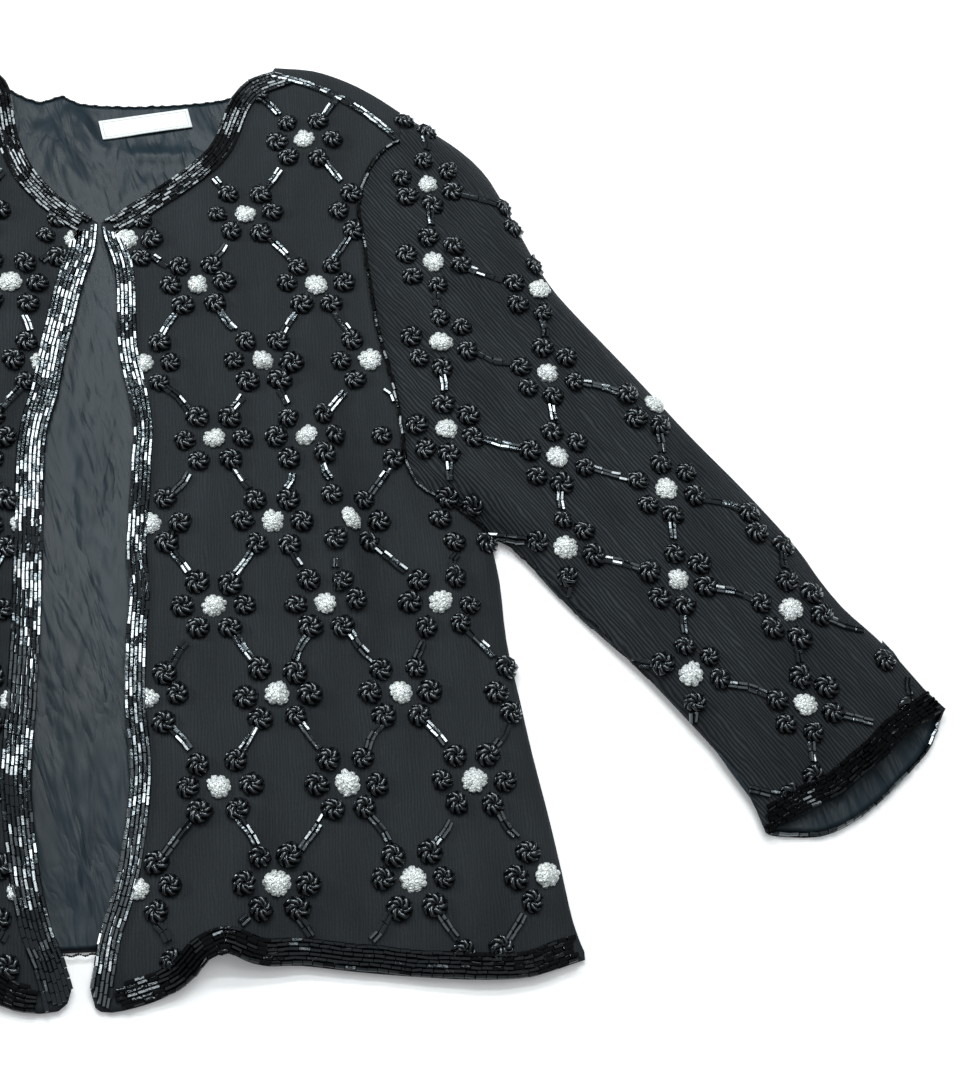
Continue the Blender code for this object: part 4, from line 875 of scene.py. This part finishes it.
def scatter(name, template, places, main, hint, finish, hand="left", sizes=None, flat=True):
    points, corners, starts = template
    mirror = np.array((-1, 1, 1) if hand == "right" else (1, 1, 1))
    frames = framesOf(main * mirror, hint * mirror)
    count = len(places)
    sizes = np.ones((count, 3)) if sizes is None else sizes
    moved = np.einsum("nij,nvj->nvi", frames, points[None] * sizes[:, None])
    moved += (places * mirror)[:, None]
    mesh = bpy.data.meshes.new(name)
    mesh.vertices.add(count * len(points))
    mesh.loops.add(count * len(corners))
    mesh.polygons.add(count * len(starts))
    mesh.vertices.foreach_set("co", moved.reshape(-1))
    step = np.arange(count)[:, None]
    mesh.loops.foreach_set("vertex_index", (corners[None] + step * len(points)).reshape(-1))
    mesh.polygons.foreach_set("loop_start", (starts[None] + step * len(corners)).reshape(-1))
    mesh.update(calc_edges=True)
    mesh.materials.append(finish)
    if flat:
        mesh.shade_flat()
    else:
        mesh.shade_smooth()
    piece = linked(name, mesh)
    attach(piece, "root")
    return piece


bugle, seed = modelBugle(), modelSeed()
darkRosette, paleRosette = modelRosette(), modelPale()
print("beads modelled:", len(bugle[2]), len(darkRosette[2]), len(paleRosette[2]), "faces")


# Rows of bugles
def inwardOf(line):  # to the right of the line's direction
    along = np.gradient(line[:, :2], axis=0)
    along /= np.linalg.norm(along, axis=1, keepdims=True)
    return np.stack([along[:, 1], -along[:, 0]], 1)


def alongLine(line, keep=None, phase=1.0):  # plan ends of bugles sewn one after another
    runs = np.concatenate([[0], np.cumsum(np.hypot(*np.diff(line, axis=0).T))])
    at, ends = -dice.uniform(0, phase) * beads["bugle"], []
    while at < runs[-1]:
        length = beads["bugle"] * dice.uniform(0.92, 1.05)
        if at >= 0 and at + length <= runs[-1]:
            a, b = ([float(np.interp(s, runs, line[:, k])) for k in (0, 1)] for s in (at, at + length))
            if keep is None or (keep(*a) and keep(*b)):
                ends.append(a + b)
        at += length + beads["gap"]
    return ends


bugleLie = {"loose": 0.00018, "facing": math.pi / 6}  # a facing of 0 is edge up


def sewBugles(name, ends, height, finish, hand, loose=bugleLie["loose"], facing=bugleLie["facing"]):
    ends = np.array(ends).reshape(-1, 2, 2)
    ends = ends + dice.normal(0, loose, ends.shape)
    middle = ends.mean(1)
    spot, up = onSurface(height, middle[:, 0], middle[:, 1])
    low, high = (height(ends[:, k, 0], ends[:, k, 1]) for k in (0, 1))
    span = ends[:, 1] - ends[:, 0]
    tilt = beads["tilted"] * ripples(middle[:, 0], middle[:, 1], 0.016, 0.022, 20, 15)  # uneven lie
    rise = high - low + np.linalg.norm(span, axis=1) * tilt
    main = np.column_stack([span, rise + dice.normal(0, loose * 1.5, len(span))])
    length = np.linalg.norm(main, axis=1)
    raised = beads["radius"] * 0.85 + np.abs(dice.normal(0, 0.00010, len(span)))
    sizes = np.ones((len(span), 3))
    sizes[:, 2] = np.clip(length / beads["bugle"], 0.3, 1.1) * 0.985
    spin = beads["turned"] * ripples(middle[:, 0], middle[:, 1], 0.030, 0.055, 35, 5175)
    spin = facing + spin + dice.normal(0, 0.09, len(span))
    aside = np.cross(main, up)
    aside /= np.linalg.norm(aside, axis=1, keepdims=True)
    hint = up * np.cos(spin)[:, None] + aside * np.sin(spin)[:, None]
    places = spot + up * raised[:, None]
    return scatter(name, bugle, places, main, hint, finishes[finish], hand, sizes)


def sewBand(part, line, kind, height, keep, hand):
    rows, loose, sway, facing, finish = bandSewing[kind]
    inward = inwardOf(line)
    swayed = sway * ripples(line[:, 0], line[:, 1], 0.022, 0.022, 10, 31)[:, None]
    ends = []
    for k in range(rows):
        ends += alongLine(line[:, :2] + inward * ((k + 0.5) * beads["pitch"] + swayed), keep)
    piece = sewBugles(part + "Band" + hand.title(), ends, height, finish, hand, loose, facing)
    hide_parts(part + "_band_" + hand)


def extended(line, before, after):  # a curve carried on straight past its two ends
    start, end = line[0] - line[1], line[-1] - line[-2]
    start, end = (step / np.hypot(*step[:2]) for step in (start, end))
    return np.concatenate([[line[0] + start * before], line, [line[-1] + end * after]])


bandWidths = {"neck": 0.0155, "left": 0.013, "right": 0.0175, "hem": 0.0155, "cuff": 0.016}
# the neck, hem and cuff bands take the darker copies of the bead finish, which paint shade
bandSewing = {  # rows, looseness, sway, how far a bead is turned from edge up, finish
    "neck": (6, 0.00010, 0.0005, math.pi / 6, "shadedNeckBeads"),
    "left": (5, 0.00010, 0.0005, math.pi / 6, "beads"),
    "right": (7, 0.00010, 0.0005, math.pi / 6, "beads"),
    "hem": (6, 0.00016, 0.0009, 0.05, "shadedHemBeads"),
    "cuff": (6, 0.00022, 0.0018, 0.0, "shadedCuffBeads"),
}


def hemAt(x, hand):
    line = curves["hem", hand][:-3][::-1]
    return np.interp(x, line[:, 0], line[:, 1])


def openingAt(y, hand):
    line = curves["opening", hand]
    return np.interp(y, line[:, 1], line[:, 0])


def shoulderAt(x):
    return np.interp(x, curves["shoulder"][:, 0], curves["shoulder"][:, 1])


def beyondMitre(x, y, hand):  # above the line where the front band meets the neck band
    corner = neckEdge[hand][0]
    return (y - corner[1]) + 0.69 * (x - corner[0]) > 0


def topOf(hand):  # the height of one front by its place
    def top(x, y):
        return frontTop(x, y, hand)

    return top


def sewBands(hand):
    outline, top = frontOutline(hand), topOf(hand)

    def onFront(x, y):
        onCloth = insideOf(outline, np.array([x]), np.array([y]))[0]
        return bool(onCloth) and not beyondMitre(x, y, hand)

    def onNeck(x, y):
        return beyondMitre(x, y, hand) and y < shoulderAt(x) - 0.0006

    def onHem(x, y):
        return x > openingAt(y, hand) + bandWidths[hand] + 0.0006

    def onCuff(x, y):
        return sleeveEdges(np.array(x), np.array(y))[0] > 0.0008

    edge = evenly(extended(curves["opening", hand], 0.016, 0.002), 220)
    sewBand("front", edge, hand, top, onFront, hand)
    neck = evenly(extended(curves["neck", hand][:, :2], 0.010, 0.014), 120)
    sewBand("neck", neck, "neck", top, onNeck, hand)
    sewBand("hem", evenly(curves["hem", hand][:-3, :2], 160), "hem", top, onHem, hand)
    sewBand("cuff", evenly(curves["cuff"][:, :2], 70), "cuff", sleeveTop, onCuff, hand)


# Flowers on their net, and the strands that join them
net = {
    "across": 0.0392, "down": 0.118, "first": 0.014, "odd": 0.034, "even": -0.026, "top": 0.190,
    "sleeve": (0.281, 0.145), "row": (0.000, -0.065), "column": (0.072, -0.087), "fade": 5.5,
}
gather = {  # where the cloth beside the armhole draws the flowers in
    "x": 0.108, "over": 0.040, "y": -0.005, "half": 0.085, "shift": 0.030,
}
strand = {"start": 0.0245, "bow": 0.0012, "apart": 1.05, "clear": 0.0008}
ringWild = {"turn": 3, "least": 0.96, "most": 1.06, "apart": 0.0122, "shown": 0.55}


def frontNet():  # flowers by their column and half row
    found = {}
    for k in range(7):
        for j in range(-3, 4):
            y = (net["odd"] if k % 2 else net["even"]) + net["down"] * j
            found[k, 2 * j + (k % 2)] = (net["first"] + net["across"] * k, y)
    return found


def placedNet(hand):
    placed = {}
    for key, (x, y) in frontNet().items():
        y = net["top"] if key == (0, 4) else y  # the first column ends just below the V
        x = x + openingAt(y, hand) * (1 - key[0] / net["fade"])
        share = smooth((x - gather["x"]) / gather["over"])
        share = share * math.exp(-(((y - gather["y"]) / gather["half"]) ** 2))
        placed[key] = (x - gather["shift"] * share, y)
    return placed


def sleeveNet():
    found = {}
    for j in range(-1, 5):
        for i in range(-3, 7):
            place = [net["sleeve"][c] + i * net["row"][c] + j * net["column"][c] for c in (0, 1)]
            found[j, i] = tuple(place)
    return found


def frontOutline(hand):
    return np.concatenate([
        curves["side"], curves["hem", hand][1:, :2], curves["opening", hand][1:],
        curves["neck", hand][1:, :2], curves["shoulder"][1:, :2], curves["armhole"][1:, :2],
    ])


def clearOfBands(x, y, hand):  # how far past the bands' inner edges a place is
    away = nearestOn(x, y, curves["neck", hand][:, :2])[0] - bandWidths["neck"]
    away = np.minimum(away, x - openingAt(y, hand) - bandWidths[hand])
    return np.minimum(away, y - hemAt(x, hand) - bandWidths["hem"])


def clearOfCuff(x, y):
    return nearestOn(x, y, curves["cuff"][:, :2])[0] - bandWidths["cuff"]


sleeveOutline = np.concatenate([
    curves["upper"], curves["cuff"][1:, :2], curves["lower"][::-1][1:],
    curves["armhole"][::-1][1:, :2],
])


def rosettesOf(flowers, turn, outline, inset, depth):
    pale, dark = [], []
    rim = np.concatenate([outline, outline[:1]])

    def fits(x, y, radius):
        spot = np.array([x]), np.array([y])
        inner = insideOf(outline, *spot)[0] and nearestOn(*spot, rim)[0][0] > inset
        return bool(inner and depth(*spot)[0] > -ringWild["shown"] * radius)

    for x, y in flowers:
        if fits(x, y, beads["pale"]):
            pale.append((x, y))
        for angle in beads["ringAngles"]:
            a = math.radians(angle + turn + dice.normal(0, ringWild["turn"]))
            reach = beads["ring"] * dice.uniform(ringWild["least"], ringWild["most"])
            rx, ry = x + reach * math.cos(a), y + reach * math.sin(a)
            clear = all(math.hypot(rx - qx, ry - qy) > ringWild["apart"] for qx, qy in dark)
            if clear and fits(rx, ry, beads["dark"]):
                dark.append((rx, ry))
    return np.array(pale), np.array(dark)


def levelHint(spin):
    return np.stack([np.cos(spin), np.sin(spin), 0 * spin], 1)


def sewRosettes(name, spots, template, height, finish, hand, depth):
    spot, up = onSurface(height, spots[:, 0], spots[:, 1])
    hint = levelHint(dice.uniform(0, 2 * math.pi, len(spots)))
    sizes = dice.uniform(0.92, 1.08, (len(spots), 3))
    sizes[:, 1] = sizes[:, 0] * dice.uniform(0.92, 1.08, len(spots))
    lean = up + dice.normal(0, 0.06, up.shape)
    piece = scatter(name, template, spot + up * 0.0002, lean, hint, finish, hand, sizes, False)
    tuckUnder(piece, height, hand, depth)


def tuckUnder(piece, height, hand, depth):  # crumples each rosette, and cuts it short at a band
    mesh = piece.data
    co = np.zeros(len(mesh.vertices) * 3)
    mesh.vertices.foreach_get("co", co)
    co = co.reshape(-1, 3)
    push = [beads["crumple"] * ripples(co[:, 0], co[:, 1], 0.0045, 0.0045, 0, k) for k in (41, 42, 43)]
    co += np.stack(push, 1)
    x = -co[:, 0] if hand == "right" else co[:, 0]
    under = depth(x, co[:, 1]) < 0
    co[under, 2] = height(x[under], co[under, 1]) + 0.0007
    mesh.vertices.foreach_set("co", co.reshape(-1))
    mesh.update()


def strandEnds(a, b, keep):  # two bugle rows between two flowers
    a, b = np.array(a), np.array(b)
    way = (b - a) / np.hypot(*(b - a))
    aside = np.array([-way[1], way[0]])
    start, end = a + way * strand["start"], b - way * strand["start"]
    bow = aside * dice.normal(0, strand["bow"])
    ends = []
    for side in (-0.5, 0.5):
        shift = aside * side * beads["pitch"] * strand["apart"]
        line = np.array([start + shift, (start + end) / 2 + bow + shift, end + shift])
        ends += alongLine(evenly(line, 12), keep, 0.0)
    return ends


def sewFlowers(part, hand, flowers, steps, turn, outline, inset, height, depth):
    def onField(x, y):
        spot = np.array([x]), np.array([y])
        return bool(insideOf(outline, *spot)[0] and depth(*spot)[0] > strand["clear"])

    pale, dark = rosettesOf(flowers.values(), turn, outline, inset, depth)
    name = hand.title()
    sewRosettes(part + "Rosettes" + name, dark, darkRosette, height, finishes["rosette"], hand, depth)
    sewRosettes(part + "Pale" + name, pale, paleRosette, height, finishes["crystal"], hand, depth)
    ends = []
    for (column, row), place in flowers.items():
        for across, down in steps:
            other = (column + across, row + down)
            if other in flowers:
                ends += strandEnds(place, flowers[other], onField)
    sewBugles(part + "Strands" + name, ends, height, "beads", hand)


def sewFrontFlowers(hand):
    def depth(x, y):
        return clearOfBands(x, y, hand)

    sewFlowers("front", hand, placedNet(hand), ((1, 1), (1, -1)), 0.0, frontOutline(hand), 0.0030,
               topOf(hand), depth)


def sewSleeveFlowers(hand):
    turn = math.degrees(math.atan2(net["column"][1], net["column"][0])) + 90
    sewFlowers("sleeve", hand, sleeveNet(), ((0, 1), (1, -1)), turn, sleeveOutline, 0.0022,
               sleeveTop, clearOfCuff)


seams = {  # line, stations, distances inward, finish, looseness and facing
    "shoulder": (curves["shoulder"][:, :2], 60, (0.0016, 0.0042), "beads", *bugleLie.values()),
    # the armhole row takes the darker hem copy of the bead finish, painted shade
    "armhole": (curves["armhole"][:, :2], 120, (-0.0016,), "shadedHemBeads", 0.00035, 0.10),
    "cuffEdge": (curves["cuff"][:, 3:], 70, (0.0014,), "beads", 0.00025, 0.25),
}


def sewSeams(hand):
    def under(x, y):
        return sleeveUnder(x, y) + 0.0010

    for part, (line, stations, distances, finish, loose, facing) in seams.items():
        height = under if part == "cuffEdge" else topOf(hand)
        row, ends = evenly(line, stations), []
        for distance in distances:
            ends += alongLine(row + inwardOf(row) * distance)
        sewBugles(part + "Beads" + hand.title(), ends, height, finish, hand, loose, facing)


edging = {"spacing": 0.0013, "pace": 1.05, "wave": 0.0005, "inward": 0.0020, "lift": 0.0004}


def sewEdging(name, line, height):  # small loops of beads along an edge of the back
    line = evenly(line[:, :2], int(lengthOf(line) / edging["spacing"]))
    wave = np.sin(np.arange(len(line)) * edging["pace"])[:, None] * edging["wave"]
    spots = line + inwardOf(line) * (wave + edging["inward"])
    spot, up = onSurface(height, spots[:, 0], spots[:, 1])
    hint = levelHint(dice.uniform(0, 6.28, len(spots)))
    sizes = np.ones((len(spots), 3)) * dice.uniform(0.8, 1.2, (len(spots), 1))
    spot = spot + up * edging["lift"]
    scatter(name, seed, spot, up, hint, finishes["edging"], "left", sizes, False)


def declare(piece, kind, *below):
    print("cloth", piece.name, "declared")


back = makeBack()
lining = makeLining()
declare(back, "back")
declare(lining, "lining", back.name)
declare(makeLabel(), "label", lining.name)
for hand in ("left", "right"):
    declare(makeFront(hand), "front" + hand.title(), lining.name)
    sleeve = makeSleeve(hand)
    declare(sleeve, "sleeve")
    declare(makeCuffLining(hand), "cuffLining", sleeve.name)
for hand in ("left", "right"):
    sewBands(hand)
    sewFrontFlowers(hand)
    sewSleeveFlowers(hand)
    sewSeams(hand)
    print("beads sewn on the", hand)
sewEdging("backNeckEdging", curves["backNeck"][4:-4], liningTop)
sewEdging("backHemEdging", curves["backHem"], liningTop)
print("edges of the back sewn")


# Floor, lights and camera
def makeFloor():
    bpy.ops.object.select_all(action="DESELECT")
    bpy.ops.mesh.primitive_plane_add(size=8.0, location=(0, 0, -0.0006))
    floor = bpy.context.active_object
    floor.name = "studioFloor"
    paper = Finish("whitePaper", Base_Color=(0.93, 0.93, 0.93, 1), Roughness=0.9,
                   Emission_Color=(1, 1, 1, 1), Emission_Strength=0.12)
    paper.relief(paper.noise(paper.place(), 300, 2), 0.0001)
    floor.data.materials.append(paper.material)


def addLight(name, place, target, size, power):
    lamp = bpy.data.lights.new(name, "AREA")
    lamp.shape, lamp.size, lamp.size_y = "RECTANGLE", size[0], size[1]
    lamp.energy, lamp.color = power, studio["cool"]
    aim = (Vector(target) - Vector(place)).to_track_quat("-Z", "Y")
    linked(name, lamp).matrix_world = Matrix.Translation(place) @ aim.to_matrix().to_4x4()


studio = {
    "world": (0.93, 0.96, 1.0, 1), "worldStrength": 0.22, "cool": (0.95, 0.99, 1.0),
    "camera": (0.0229, -0.5407, 1.0828), "turn": (0.4378, -0.1257, -0.0346),
    "focal": 1856.1, "pictureHeight": 1073, "film": 36, "shift": 0.08,
}
lights = {  # place, target, size, power
    "farStrip": ((0.0, 1.40, 1.70), (0.0, 0.1, 0), (1.7, 0.26), 22),
    "midStrip": ((0.0, 0.85, 1.90), (0.0, 0.0, 0), (1.7, 0.22), 18),
    "nearStrip": ((0.2, 0.25, 2.05), (0.0, 0.0, 0), (1.5, 0.14), 6),
    "broad": ((0.7, -0.4, 2.4), (0.1, 0, 0), (2.4, 2.4), 12),
    "side": ((-1.6, 0.5, 0.75), (0.1, 0, 0), (0.5, 0.5), 16),
}
makeFloor()
world = bpy.data.worlds.new("studio")
bpy.context.scene.world = world
world.use_nodes = True
world.node_tree.nodes["Background"].inputs["Color"].default_value = studio["world"]
world.node_tree.nodes["Background"].inputs["Strength"].default_value = studio["worldStrength"]
for name, settings in lights.items():
    addLight(name, *settings)
bpy.context.scene.view_settings.view_transform = "Standard"

turnVector = Vector(studio["turn"])
camera = linked("camera", bpy.data.cameras.new("camera"))
camera.matrix_world = (Matrix.Translation(studio["camera"])
                       @ Matrix.Rotation(turnVector.length, 4, turnVector.normalized()))
camera.data.lens = studio["film"] * studio["focal"] / studio["pictureHeight"]
camera.data.shift_x = studio["shift"]
bpy.context.scene.camera = camera
